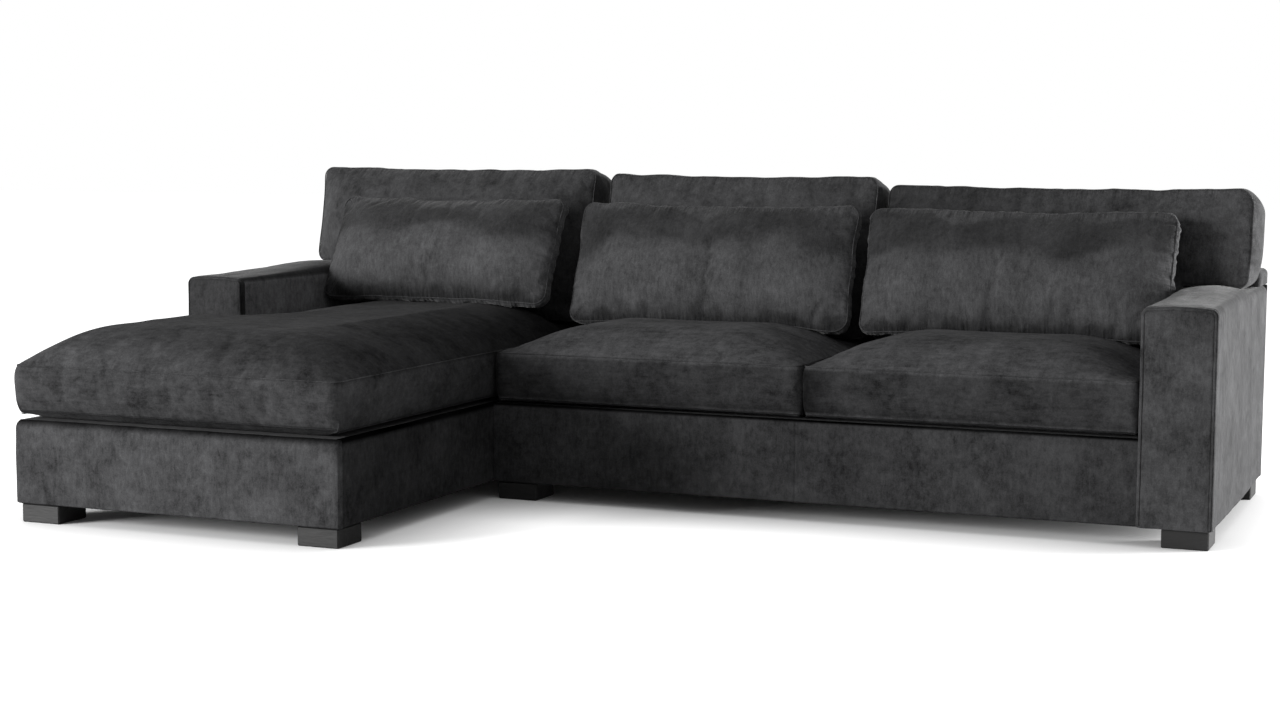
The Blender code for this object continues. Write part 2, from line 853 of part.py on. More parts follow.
def evaluated_points(piece):
    """Points along every edge of a piece in the world, with its search tree."""
    bpy.context.view_layer.update()
    graph = bpy.context.evaluated_depsgraph_get()
    seen = piece.evaluated_get(graph)
    mesh = seen.to_mesh()
    place = piece.matrix_world
    corners = [place @ vertex.co for vertex in mesh.vertices]
    points = list(corners)
    for edge in mesh.edges:
        first, second = (corners[index] for index in edge.vertices)
        steps = math.ceil((second - first).length / SAMPLE_STEP)
        points += [first.lerp(second, step / steps) for step in range(1, steps)]
    tree = BVHTree.FromPolygons(corners, [tuple(face.vertices) for face in mesh.polygons])
    seen.to_mesh_clear()
    return points, tree


def clear_travel(piece, carriers, direction):
    """How far a piece can move along a direction before it touches a carrier."""
    points, tree = evaluated_points(piece)
    travel = math.inf
    for carrier in carriers:
        other_points, other_tree = evaluated_points(carrier)
        for point in points:
            distance = other_tree.ray_cast(point, direction)[3]
            travel = min(travel, distance if distance is not None else travel)
        for point in other_points:
            distance = tree.ray_cast(point, -direction)[3]
            travel = min(travel, distance if distance is not None else travel)
    return travel


def settle(piece, carriers, direction, start):
    """Moves a cushion along a direction until it lies a soft clearance from what stops it.

    It is drawn back by the start distance first, so that it never begins inside a carrier."""
    direction = Vector(direction).normalized()
    piece.location -= direction * start
    piece.location += direction * (clear_travel(piece, carriers, direction) - SOFT_FIT)
    bpy.context.view_layer.update()


def seat_crown(crown, depth, corners):
    """The seat's top: full in front, pressed down at the rear under the cushions that lean there."""
    points = [Vector(corner) for corner in corners]

    def height(point):
        behind = (point.y - (depth - PRESSED_LENGTH - PRESSED_BLEND)) / PRESSED_BLEND
        share = max(0, min(1, behind))
        pressed = 1 - (1 - PRESSED_SHARE) * share * share * (3 - 2 * share)
        return crown * pressed * puff(point, points, SEAT_REACH)

    return height


def flat(point):
    return 0


SEAT_CUSHION_BACK = pad_front(BASE_TOP) - SEAT_SIDE_GAP
SEAT_REST = BASE_TOP + FIT


def loveseat_seat_cushions():
    left = SPLIT + SEAT_SIDE_GAP
    right = RIGHT_ARM_INNER - SEAT_SIDE_GAP
    split = SPLIT + (RIGHT_ARM_INNER - SPLIT) * SEAT_SPLIT_SHARE
    depth = SEAT_CUSHION_BACK - LOVESEAT_FRONT
    spans = (("middle", left, split - SEAT_SIDE_GAP), ("right", split + SEAT_SIDE_GAP, right))
    cushions = []
    for name, start, end in spans:
        width = end - start
        corners = ((0, 0), (width, 0), (width, depth), (0, depth))
        mesh = cushion_cage(
            f"{name}_seat_cushion",
            corners,
            stretch_lines(0, [(width, LONG_SHARES)]),
            stretch_lines(0, [(depth, DEEP_SHARES)]),
            SEAT_BOXING,
            seat_crown(SEAT_CROWN, depth, corners),
            flat,
            SEAT_DRAW,
            SEAT_BULGE,
        )
        place = (start, LOVESEAT_FRONT, SEAT_REST)
        cushions.append(add_cushion(f"{name}_seat_cushion", mesh, loveseat_module, place, ALONG_Z))
    return cushions


def chaise_seat_cushion():
    """An L-shaped cushion: full width in front of the arm, narrower beside it."""
    width = CHAISE_WIDTH - SEAT_SIDE_GAP
    depth = SEAT_CUSHION_BACK - CHAISE_FRONT
    notch = ARM_WIDTH + SEAT_SIDE_GAP
    notch_front = LEFT_ARM_FRONT - SEAT_SIDE_GAP - CHAISE_FRONT
    corners = (
        (0, 0),
        (width, 0),
        (width, depth),
        (notch, depth),
        (notch, notch_front),
        (0, notch_front),
    )
    mesh = cushion_cage(
        "chaise_seat_cushion",
        corners,
        stretch_lines(0, [(notch, EAR_SHARES), (width, REAR_STRETCH_SHARES)]),
        stretch_lines(0, [(notch_front, FRONT_STRETCH_SHARES), (depth, REAR_STRETCH_SHARES)]),
        SEAT_BOXING,
        seat_crown(CHAISE_CROWN, depth, corners),
        flat,
        SEAT_DRAW,
        SEAT_BULGE,
    )
    place = (LEFT, CHAISE_FRONT, SEAT_REST)
    return add_cushion("chaise_seat_cushion", mesh, chaise_module, place, ALONG_Z)


def upright(rake):
    """The turn that stands a cushion up with its crowned face to the front, leaning back."""
    return (math.pi / 2 - rake, 0, 0)


def crowned(crown, corners, reach):
    """A face that swells evenly from its seam, as a function of the place on it."""
    points = [Vector(corner) for corner in corners]
    return lambda point: crown * puff(point, points, reach)


DOWN_THE_RAKE = (0, -math.sin(BACK_RAKE), -math.cos(BACK_RAKE))
LOWERED_REST = ARM_HEIGHT + ARM_CROWN


def back_cushion(name, left, right, ear, seat, carriers, module):
    """A boxed back cushion. Ear is -1 or 1 where it also lies over the arm on that side, or 0."""
    height = BACK_CUSHION_HEIGHTS[name]
    width = right - left
    step = (LOWERED_REST - seat_level(seat)) / math.cos(BACK_RAKE) + EAR_LIFT
    overhang = ARM_WIDTH - EAR_INSET + SEAT_SIDE_GAP
    rows = stretch_lines(0, [(height, HEIGHT_SHARES)])
    columns = stretch_lines(0, [(width, LONG_SHARES)])
    corners = [(0, 0), (width, 0), (width, height), (0, height)]
    if ear:
        rows = stretch_lines(0, [(step, LOWER_SHARES), (height, UPPER_SHARES)])
    if ear < 0:
        columns = stretch_lines(0, [(overhang, EAR_SHARES), (width, LONG_SHARES)])
        corners = [(overhang, 0), (width, 0), (width, height), (0, height), (0, step), (overhang, step)]
    if ear > 0:
        notch = width - overhang
        ear_shares = [1 - share for share in reversed((0, *EAR_SHARES[:-1]))]
        columns = stretch_lines(0, [(notch, LONG_SHARES), (width, ear_shares)])
        corners = [(0, 0), (notch, 0), (notch, step), (width, step), (width, height), (0, height)]
    mesh = cushion_cage(
        f"{name}_back_cushion",
        corners,
        columns,
        rows,
        BACK_CUSHION_BOXING,
        crowned(BACK_CUSHION_CROWNS[name], corners, BACK_CUSHION_REACH),
        crowned(BACK_CUSHION_REAR_CROWN, corners, BACK_CUSHION_REACH),
        BACK_CUSHION_DRAW,
        BACK_CUSHION_BULGE,
        BACK_RAKE,
    )
    place = (left, pad_front(BASE_TOP) - BACK_CUSHION_REAR_CROWN, seat_level(seat))
    piece = add_cushion(f"{name}_back_cushion", mesh, None, place, upright(BACK_RAKE))
    settle(piece, [bpy.data.objects[f"{module}_back_pad"]], (0, 1, 0), height / 2)
    settle(piece, carriers, DOWN_THE_RAKE, height)
    return piece


def seat_level(seat):
    """The highest level of a seat cushion's pressed top under the back cushion that stands on it."""
    rear = pad_front(BASE_TOP + SEAT_BOXING)
    front = rear - (BACK_CUSHION_BOXING + BACK_CUSHION_REAR_CROWN) / math.cos(BACK_RAKE)
    return max(point.z for point in evaluated_points(seat)[0] if point.y > front)


def lumbar_cushion(name, left, right, back_piece, seat):
    """A soft, nearly knife-edged cushion that stands on the seat and leans on the back cushion."""
    width = right - left
    height = LUMBAR_HEIGHTS[name]
    corners = [(0, 0), (width, 0), (width, height), (0, height)]
    crown = crowned(LUMBAR_CROWNS[name], corners, LUMBAR_REACH)
    mesh = cushion_cage(
        f"{name}_lumbar_cushion",
        corners,
        stretch_lines(0, [(width, LONG_SHARES)]),
        stretch_lines(0, [(height, LUMBAR_SHARES)]),
        LUMBAR_BOXING,
        crown,
        crown,
        LUMBAR_DRAW,
        LUMBAR_BULGE,
    )
    front = min(point.y for point in evaluated_points(back_piece)[0])
    level = max(point.z for point in evaluated_points(seat)[0])
    place = (left, front - height, level)
    turn = upright(LUMBAR_RAKES[name])
    piece = add_cushion(f"{name}_lumbar_cushion", mesh, None, place, turn)
    for _ in range(LUMBAR_ROUNDS):
        settle(piece, [back_piece], (0, 1, 0), height)
        settle(piece, [seat], (0, 0, -1), height)
    return piece


def keep_place(piece, parent):
    """Parents a settled cushion to what carries it, where it lies."""
    bpy.context.view_layer.update()
    piece.parent = parent
    piece.matrix_parent_inverse = parent.matrix_world.inverted()


def cushions():
    chaise_seat = chaise_seat_cushion()
    middle_seat, right_seat = loveseat_seat_cushions()
    split = SPLIT + (RIGHT_ARM_INNER - SPLIT) * SEAT_SPLIT_SHARE
    left_wrap = bpy.data.objects["left_arm_wrap"]
    right_wrap = bpy.data.objects["right_arm_wrap"]
    left_ear = LEFT + EAR_INSET
    right_ear = RIGHT - EAR_INSET
    half_gap = BACK_CUSHION_GAP / 2
    backs_made = (
        back_cushion(
            "chaise", left_ear, SPLIT - half_gap, -1, chaise_seat, [chaise_seat, left_wrap], "chaise"
        ),
        back_cushion(
            "middle", SPLIT + half_gap, split - half_gap, 0, middle_seat, [middle_seat], "loveseat"
        ),
        back_cushion(
            "right", split + half_gap, right_ear, 1, right_seat, [right_seat, right_wrap], "loveseat"
        ),
    )
    seats = (chaise_seat, middle_seat, right_seat)
    middle_margin = LUMBAR_MARGINS["middle"] / 2
    spans = {
        "chaise": (LEFT_ARM_INNER, SPLIT - LUMBAR_MARGINS["chaise"]),
        "middle": (SPLIT + middle_margin, split - middle_margin),
        "right": (split + LUMBAR_MARGINS["right"] - LUMBAR_END_GAP, RIGHT_ARM_INNER - LUMBAR_END_GAP),
    }
    for name, seat, back_piece in zip(spans, seats, backs_made):
        piece = lumbar_cushion(name, *spans[name], back_piece, seat)
        keep_place(back_piece, seat)
        keep_place(piece, back_piece)


chaise_rails()
loveseat_rails()
borders()
decks()
feet()
arms()
backs()
joining_bar()
cushions()
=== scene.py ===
import json
import math

import bpy
import numpy as np
from mathutils import Matrix, Vector


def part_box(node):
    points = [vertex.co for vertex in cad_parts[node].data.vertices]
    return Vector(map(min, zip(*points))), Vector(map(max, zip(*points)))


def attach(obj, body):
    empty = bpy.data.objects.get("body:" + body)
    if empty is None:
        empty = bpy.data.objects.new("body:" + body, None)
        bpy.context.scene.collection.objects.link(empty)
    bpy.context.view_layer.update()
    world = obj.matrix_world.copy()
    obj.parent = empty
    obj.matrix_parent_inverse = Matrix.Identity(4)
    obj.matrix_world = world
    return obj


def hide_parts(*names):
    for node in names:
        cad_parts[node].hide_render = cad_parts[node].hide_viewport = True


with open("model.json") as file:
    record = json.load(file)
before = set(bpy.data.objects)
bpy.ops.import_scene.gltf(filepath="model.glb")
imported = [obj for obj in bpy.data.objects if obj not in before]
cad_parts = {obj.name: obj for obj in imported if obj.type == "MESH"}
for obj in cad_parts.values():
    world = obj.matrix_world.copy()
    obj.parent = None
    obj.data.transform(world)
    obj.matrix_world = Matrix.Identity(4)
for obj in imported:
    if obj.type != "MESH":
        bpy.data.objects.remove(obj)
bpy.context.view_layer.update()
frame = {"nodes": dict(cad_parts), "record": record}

nodes = frame["nodes"]
print("frame loaded:", len(nodes), "nodes")

# Camera: at the photograph's viewing angle, low and to the sofa's right
viewpoint = {
    "place": (2.211, -5.525, 1.012),
    "turnLeft": 0.39441,
    "tiltDown": 0.10028,
    "roll": 0.00466,
    "focalPixels": 2146.5,
    "imageWidth": 1280,
    "sensorWidth": 36.0,
    "clipEnd": 60,
}


def makeCamera(settings):
    # forward is (-sin turn cos tilt, cos turn cos tilt, -sin tilt); right and up follow, then the roll
    turn, tilt, roll = -settings["turnLeft"], settings["tiltDown"], settings["roll"]
    forward = Vector((math.sin(turn) * math.cos(tilt), math.cos(turn) * math.cos(tilt), -math.sin(tilt)))
    right = Vector((math.cos(turn), -math.sin(turn), 0))
    up = right.cross(forward)
    rolledRight = right * math.cos(roll) + up * math.sin(roll)
    rolledUp = up * math.cos(roll) - right * math.sin(roll)
    lens = bpy.data.cameras.new("studioCamera")
    lens.sensor_width = settings["sensorWidth"]
    lens.lens = settings["focalPixels"] * settings["sensorWidth"] / settings["imageWidth"]
    lens.clip_end = settings["clipEnd"]
    camera = bpy.data.objects.new("studioCamera", lens)
    bpy.context.scene.collection.objects.link(camera)
    turned = Matrix((rolledRight, rolledUp, -forward)).transposed().to_4x4()
    camera.matrix_world = Matrix.Translation(settings["place"]) @ turned
    bpy.context.scene.camera = camera


makeCamera(viewpoint)

# Node tools

def addNode(tree, kind, inputs=None, **settings):
    # one node with its properties and its inputs, each a fixed value or another node's output
    node = tree.nodes.new(kind)
    for key, value in settings.items():
        setattr(node, key, value)
    for key, value in (inputs or {}).items():
        if isinstance(value, bpy.types.NodeSocket):
            tree.links.new(value, node.inputs[key])
        else:
            node.inputs[key].default_value = value
    return node


def mathNode(tree, operation, *values, clamp=False):
    # the result of a Math node on sockets or numbers
    node = addNode(tree, "ShaderNodeMath", dict(enumerate(values)), operation=operation, use_clamp=clamp)
    return node.outputs[0]


def summed(tree, start, *parts, clamp=False):
    # the start plus each part's value times its weight
    total = start
    for number, (value, weight) in enumerate(parts, 1):
        last = number == len(parts)
        total = mathNode(tree, "MULTIPLY_ADD", value, weight, total, clamp=clamp and last)
    return total


def stretched(tree, coordinates, scale):
    # coordinates multiplied by a scale for each axis
    inputs = {0: coordinates, 1: scale}
    return addNode(tree, "ShaderNodeVectorMath", inputs, operation="MULTIPLY").outputs[0]


def noise(tree, coordinates, scale, detail=3.0, roughness=0.5, distortion=0.0):
    # a Noise texture's value less 0.5
    inputs = {"Vector": coordinates, "Scale": scale, "Detail": detail}
    inputs.update({"Roughness": roughness, "Distortion": distortion})
    return mathNode(tree, "SUBTRACT", addNode(tree, "ShaderNodeTexNoise", inputs).outputs["Fac"], 0.5)


def makeGroup(name, inputs):
    # a pattern group: its named inputs, and a colour, a roughness and a height that come out
    group = bpy.data.node_groups.new(name, "ShaderNodeTree")
    for label, kind, value in inputs:
        socket = group.interface.new_socket(label, in_out="INPUT", socket_type="NodeSocket" + kind)
        socket.default_value = value
    for label, kind in (("Colour", "Color"), ("Roughness", "Float"), ("Height", "Float")):
        group.interface.new_socket(label, in_out="OUTPUT", socket_type="NodeSocket" + kind)
    return group, group.nodes.new("NodeGroupInput")


def sendOut(group, colour, roughness, height):
    # the group's output node
    addNode(group, "NodeGroupOutput", {"Colour": colour, "Roughness": roughness, "Height": height})
    return group


def newMaterial(name):
    # a material with its node tree and its shader
    material = bpy.data.materials.new(name)
    material.use_nodes = True
    return material, material.node_tree, material.node_tree.nodes["Principled BSDF"]


# Studio: a white room, a pale floor and large soft boxes
studio = {
    "seenWhite": 1.0,        # how white the room looks to the camera
    "ambient": 0.42,         # how much light it gives
    "floorSize": 60.0,
    "floorPaint": {
        "Base Color": (0.86, 0.86, 0.86, 1),
        "Roughness": 0.9,
        "Specular IOR Level": 0.1,
        "Emission Color": (1, 1, 1, 1),
    },
    "floorGlow": 0.75,       # how much whiter the open floor looks to the camera
    "shadowReach": 0.35,     # how near something must stand to darken it
    "shadowPower": 2.0,      # how steeply it darkens
    "shadowSamples": 8,
    "boxes": [
        # name, place, aim, width, height, power
        ("keyBox", (-6.6, -7.0, 2.2), (0.3, -0.2, 0.4), 3.4, 3.0, 1350),
        ("rightBox", (5.8, 2.5, 0.9), (1.5, 0.4, 0.3), 1.6, 1.2, 690),
    ],
}


def makeRoom(settings):
    # the room's strength is one value for the camera and another for every other ray
    world = bpy.data.worlds.new("studioWorld")
    world.use_nodes = True
    tree = world.node_tree
    seen = addNode(tree, "ShaderNodeLightPath").outputs["Is Camera Ray"]
    inputs = {"A": settings["ambient"], "B": settings["seenWhite"], "Factor": seen}
    strength = addNode(tree, "ShaderNodeMix", inputs)
    tree.links.new(strength.outputs["Result"], tree.nodes["Background"].inputs["Strength"])
    tree.nodes["Background"].inputs["Color"].default_value = (1, 1, 1, 1)
    bpy.context.scene.world = world


def makeFloor(settings):
    # a pale square; its glow is seen only by the camera and fades, as a power of the openness, where
    # something stands close above the floor
    half = settings["floorSize"] / 2
    mesh = bpy.data.meshes.new("studioFloor")
    corners = [(-half, -half, 0), (half, -half, 0), (half, half, 0), (-half, half, 0)]
    mesh.from_pydata(corners, [], [(0, 1, 2, 3)])
    floor = bpy.data.objects.new("studioFloor", mesh)
    bpy.context.scene.collection.objects.link(floor)
    paint, tree, shader = newMaterial("palePaint")
    for label, value in settings["floorPaint"].items():
        shader.inputs[label].default_value = value
    seen = addNode(tree, "ShaderNodeLightPath").outputs["Is Camera Ray"]
    openness = addNode(
        tree, "ShaderNodeAmbientOcclusion", {"Distance": settings["shadowReach"]},
        samples=settings["shadowSamples"],
    )
    glow = mathNode(tree, "POWER", openness.outputs["AO"], settings["shadowPower"])
    glow = mathNode(tree, "MULTIPLY", seen, glow)
    glow = mathNode(tree, "MULTIPLY", glow, settings["floorGlow"])
    tree.links.new(glow, shader.inputs["Emission Strength"])
    mesh.materials.append(paint)


def makeBoxes(settings):
    # large soft boxes, each turned towards what it lights
    for name, place, aim, width, height, power in settings["boxes"]:
        lamp = bpy.data.lights.new(name, "AREA")
        lamp.shape = "RECTANGLE"
        lamp.size = width
        lamp.size_y = height
        lamp.energy = power
        holder = bpy.data.objects.new(name, lamp)
        bpy.context.scene.collection.objects.link(holder)
        holder.location = place
        holder.rotation_euler = (Vector(aim) - Vector(place)).to_track_quat("-Z", "Y").to_euler()


makeRoom(studio)
makeFloor(studio)
makeBoxes(studio)
bpy.context.scene.view_settings.view_transform = "Standard"
print("studio and camera ready")

# Materials

napPattern = {
    # a noise's scale, detail, roughness and distortion
    "clouds": (7.5, 8.0, 0.64, 0.2),
    "smudges": (40.0, 6.0, 0.75, 0.3),
    "pile": (300.0, 3.0, 0.7, 0.0),
    "streaks": (1.0, 5.0, 0.76, 0.3),
    "gathers": (1.0, 2.0, 0.5, 0.0),
    # how the streaks are drawn out: down upright faces, along the width and along the depth
    "hanging": (105, 105, 30),
    "lying": (17, 70, 100),
    "deep": (70, 17, 100),
    "deepShare": 0.7,
    # gathers along and away from a seam, in waves per metre, and how fast they die away
    "gathersAlong": 75.0,
    "gathersAway": 12.0,
    "gathersFade": -42.0,
    # how much each changes the colour and how high it stands, in metres; the gathers' change of colour is
    # painted shade and light on their folds, beside their real relief
    "tone": {"clouds": 1.9, "smudges": 1.7, "brushed": 1.4, "pile": 0.9},
    "contrast": 1.15,
    "gathersPaintedShade": 1.2,
    "darkest": 0.25,
    "relief": {"clouds": 0.0016, "smudges": 0.0012, "brushed": 0.0008, "pile": 0.00035, "gathers": 0.0085},
    "roughness": 0.82,
    "roughnessChange": -0.12,
}


def makeVelvetNapAndShade(pattern):
    # Brushed velvet: clouds of leaning pile, streaks that hang down upright faces and run along flat
    # ones, a fine grain, and short gathers along the seams from the piece's own seamPlace attribute;
    # its napAndPaintedShade attribute, mostly painted light and shade with some random nap tone, makes the
    # colour lighter or darker, by 1 + shade
    group, given = makeGroup(
        "velvetNapAndShade",
        [
            ("Nap Colour", "Color", (0.03, 0.03, 0.031, 1)),
            ("Mottling", "Float", 1.0),
            ("Hanging Streaks", "Float", 1.0),
            ("Lying Streaks", "Float", 1.0),
        ],
    )
    here = addNode(group, "ShaderNodeTexCoord").outputs["Object"]
    parts = {name: noise(group, here, *pattern[name]) for name in ("clouds", "smudges", "pile")}
    hanging, lying, deep = (
        noise(group, stretched(group, here, pattern[name]), *pattern["streaks"])
        for name in ("hanging", "lying", "deep")
    )
    lying = summed(group, lying, (deep, pattern["deepShare"]))
    lying = mathNode(group, "MULTIPLY", lying, given.outputs["Lying Streaks"])
    parts["brushed"] = summed(group, lying, (hanging, given.outputs["Hanging Streaks"]))
    seam = addNode(group, "ShaderNodeAttribute", attribute_name="seamPlace").outputs["Vector"]
    place = addNode(group, "ShaderNodeSeparateXYZ", {"Vector": seam}).outputs
    fade = mathNode(group, "EXPONENT", mathNode(group, "MULTIPLY", place["Y"], pattern["gathersFade"]))
    fade = mathNode(group, "MULTIPLY", fade, place["Z"])
    along = mathNode(group, "MULTIPLY", place["X"], pattern["gathersAlong"])
    away = mathNode(group, "MULTIPLY", place["Y"], pattern["gathersAway"])
    seamWise = addNode(group, "ShaderNodeCombineXYZ", {"X": along, "Y": away}).outputs["Vector"]
    gathers = mathNode(group, "MULTIPLY", noise(group, seamWise, *pattern["gathers"]), fade)
    tone = pattern["tone"]
    mottled = summed(group, 0.0, *((parts[name], tone[name]) for name in ("clouds", "smudges", "brushed")))
    mottled = mathNode(group, "MULTIPLY", mottled, given.outputs["Mottling"])
    grained = summed(group, mottled, (parts["pile"], tone["pile"]))
    # the gathers paint the shade and light of their folds into the colour
    light = summed(group, 1.0, (grained, pattern["contrast"]), (gathers, pattern["gathersPaintedShade"]))
    light = mathNode(group, "MAXIMUM", light, pattern["darkest"])
    # painted light and shade: the napAndPaintedShade attribute makes the colour lighter or darker
    shade = addNode(group, "ShaderNodeAttribute", attribute_name="napAndPaintedShade").outputs["Fac"]
    light = mathNode(group, "MULTIPLY", light, mathNode(group, "ADD", shade, 1.0))
    inputs = {0: given.outputs["Nap Colour"], "Scale": light}
    colour = addNode(group, "ShaderNodeVectorMath", inputs, operation="SCALE").outputs[0]
    roughness = summed(group, pattern["roughness"], (mottled, pattern["roughnessChange"]), clamp=True)
    parts["gathers"] = gathers
    height = summed(group, 0.0, *((parts[name], high) for name, high in pattern["relief"].items()))
    return sendOut(group, colour, roughness, height)


def blended(group, given, share):
    # the group's light colour over its dark one, by a share
    inputs = {"Factor": share, 6: given.outputs["Dark Colour"], 7: given.outputs["Light Colour"]}
    return addNode(group, "ShaderNodeMix", inputs, data_type="RGBA").outputs[2]


woodPattern = {
    # a noise's scale, detail, roughness and distortion
    "growth": (14.0, 6.0, 0.6, 1.2),
    "pores": (95.0, 3.0, 0.6),
    "tone": (3.0, 2.0),
    # how much of the light colour there is, what each adds to it, and how high it stands, in metres
    "share": 0.5,
    "light": {"growth": 1.6, "pores": 0.9, "tone": 0.5},
    "relief": {"growth": 0.0003, "pores": 0.0004},
    "roughness": 0.62,
    "roughnessChange": -0.15,
}


def makeWoodGrain(pattern):
    # Sawn wood: growth lines drawn out along the piece, darker pores and a slow change of tone
    group, given = makeGroup(
        "woodGrain",
        [
            ("Light Colour", "Color", (0.5, 0.35, 0.2, 1)),
            ("Dark Colour", "Color", (0.3, 0.2, 0.1, 1)),
            ("Stretch", "Vector", (1, 1, 1)),
        ],
    )
    here = addNode(group, "ShaderNodeTexCoord").outputs["Object"]
    drawn = stretched(group, here, given.outputs["Stretch"])
    parts = {name: noise(group, drawn, *pattern[name]) for name in ("growth", "pores")}
    parts["tone"] = noise(group, here, *pattern["tone"])
    light = ((parts[name], weight) for name, weight in pattern["light"].items())
    share = summed(group, pattern["share"], *light, clamp=True)
    roughness = summed(group, pattern["roughness"], (share, pattern["roughnessChange"]))
    height = summed(group, 0.0, *((parts[name], high) for name, high in pattern["relief"].items()))
    return sendOut(group, blended(group, given, share), roughness, height)


weavePattern = {
    "yarn": (60.0, 4.0, 0.65),
    "yarnLight": 1.2,
    "threadMiddle": 0.75,
    "threadSwing": 0.25,
    "roughness": 0.95,
    "roughnessChange": -0.1,
}


def makeWeave(pattern):
    # Crossed threads: the product of middle + swing * sine along each axis, with uneven yarn
    group, given = makeGroup(
        "crossedThreads",
        [
            ("Light Colour", "Color", (0.5, 0.5, 0.5, 1)),
            ("Dark Colour", "Color", (0.2, 0.2, 0.2, 1)),
            ("Threads", "Float", 400.0),
            ("Relief", "Float", 0.0004),
        ],
    )
    here = addNode(group, "ShaderNodeTexCoord").outputs["Object"]
    axes = addNode(group, "ShaderNodeSeparateXYZ", {"Vector": here}).outputs
    turns = mathNode(group, "MULTIPLY", given.outputs["Threads"], 2 * math.pi)
    crossed = 1.0
    for axis in "XYZ":
        wave = mathNode(group, "SINE", mathNode(group, "MULTIPLY", axes[axis], turns))
        thread = summed(group, pattern["threadMiddle"], (wave, pattern["threadSwing"]))
        crossed = mathNode(group, "MULTIPLY", crossed, thread)
    yarn = noise(group, here, *pattern["yarn"])
    share = summed(group, crossed, (yarn, pattern["yarnLight"]), clamp=True)
    roughness = summed(group, pattern["roughness"], (share, pattern["roughnessChange"]))
    height = mathNode(group, "MULTIPLY", crossed, given.outputs["Relief"])
    return sendOut(group, blended(group, given, share), roughness, height)


velvetNapAndShade = makeVelvetNapAndShade(napPattern)
woodGrain = makeWoodGrain(woodPattern)
crossedThreads = makeWeave(weavePattern)
velvetColour = (0.039, 0.039, 0.0402, 1)
sheenRoughness = 0.4


def velvet(mottling, hanging, lying, sheen, specular):
    # a velvet finish: its pattern group, the group's values and the shader's own
    values = {"Nap Colour": velvetColour, "Mottling": mottling}
    values.update({"Hanging Streaks": hanging, "Lying Streaks": lying})
    gloss = {"Sheen Weight": sheen, "Sheen Roughness": sheenRoughness, "Specular IOR Level": specular}
    return velvetNapAndShade, values, gloss


def wood(light, dark, stretch, specular=0.25):
    # a wood finish: the light and the dark colour, and how much finer the grain is along each axis
    values = {"Light Colour": (*light, 1), "Dark Colour": (*dark, 1), "Stretch": stretch}
    return woodGrain, values, {"Specular IOR Level": specular}


def cloth(light, dark, threads, relief, specular=0.1):
    # a woven finish: its two colours, threads for each metre and their height in metres
    values = {"Light Colour": (*light, 1), "Dark Colour": (*dark, 1), "Threads": threads, "Relief": relief}
    return crossedThreads, values, {"Specular IOR Level": specular}


finishes = {
    # mottling, hanging and lying streaks, sheen and gloss
    "uprightVelvet": velvet(0.85, 0.95, 0.15, 0.12, 0.06),
    "baseVelvet": velvet(0.85, 0.95, 0.15, 0.0, 0.0),
    "seatVelvet": velvet(0.85, 0.3, 0.8, 0.02, 0.0),
    "lumbarVelvet": velvet(0.55, 1.7, 0.3, 0.12, 0.06),
    # light colour, dark colour, and then as their functions say
    "footWood": wood((0.012, 0.0115, 0.0115), (0.006, 0.006, 0.006), (0.5, 2.0, 2.0), 0.35),
    "frameWoodAlongX": wood((0.56, 0.39, 0.22), (0.33, 0.2, 0.1), (0.12, 2.0, 2.0)),
    "frameWoodAlongY": wood((0.55, 0.38, 0.21), (0.32, 0.2, 0.1), (2.0, 0.12, 2.0)),
    "frameWoodAlongZ": wood((0.57, 0.4, 0.23), (0.34, 0.21, 0.11), (2.0, 2.0, 0.12)),
    "armPlywood": wood((0.62, 0.47, 0.3), (0.42, 0.29, 0.17), (2.5, 0.1, 2.5)),
    "beltWebbing": cloth((0.42, 0.33, 0.2), (0.2, 0.15, 0.09), 260.0, 0.0006, 0.15),
    "deckFelt": cloth((0.12, 0.12, 0.12), (0.05, 0.05, 0.052), 420.0, 0.0002),
    "dustCloth": cloth((0.035, 0.035, 0.036), (0.012, 0.012, 0.012), 600.0, 0.0002),
}
plainFinish = {
    "foot_wood": "footWood",
    "plywood": "armPlywood",
    "webbing": "beltWebbing",
    "deck_felt": "deckFelt",
    "dust_cloth": "dustCloth",
    "bar_steel": "barSteel",
}


def makeFinish(name, group, values, gloss):
    # a material whose colour, roughness and relief come from a pattern group
    material, tree, shader = newMaterial(name)
    pattern = addNode(tree, "ShaderNodeGroup", node_tree=group)
    for label, value in values.items():
        pattern.inputs[label].default_value = value
    relief = addNode(tree, "ShaderNodeBump", {"Distance": 1.0, "Height": pattern.outputs["Height"]})
    tree.links.new(pattern.outputs["Colour"], shader.inputs["Base Color"])
    tree.links.new(pattern.outputs["Roughness"], shader.inputs["Roughness"])
    tree.links.new(relief.outputs["Normal"], shader.inputs["Normal"])
    for label, value in gloss.items():
        shader.inputs[label].default_value = value
    return material


steelPattern = {
    "marks": (1.0, 3.0),
    "marksStretch": (20, 900, 900),
    "patches": (40.0, 4.0, 0.6),
    "dull": (0.3, 0.3, 0.31, 1),
    "bright": (0.5, 0.5, 0.51, 1),
    "brightShare": 0.5,
    "patchLight": 1.5,
    "roughness": 0.42,
    "roughnessChange": 0.3,
    "relief": 0.0001,
    "metal": 0.9,
}


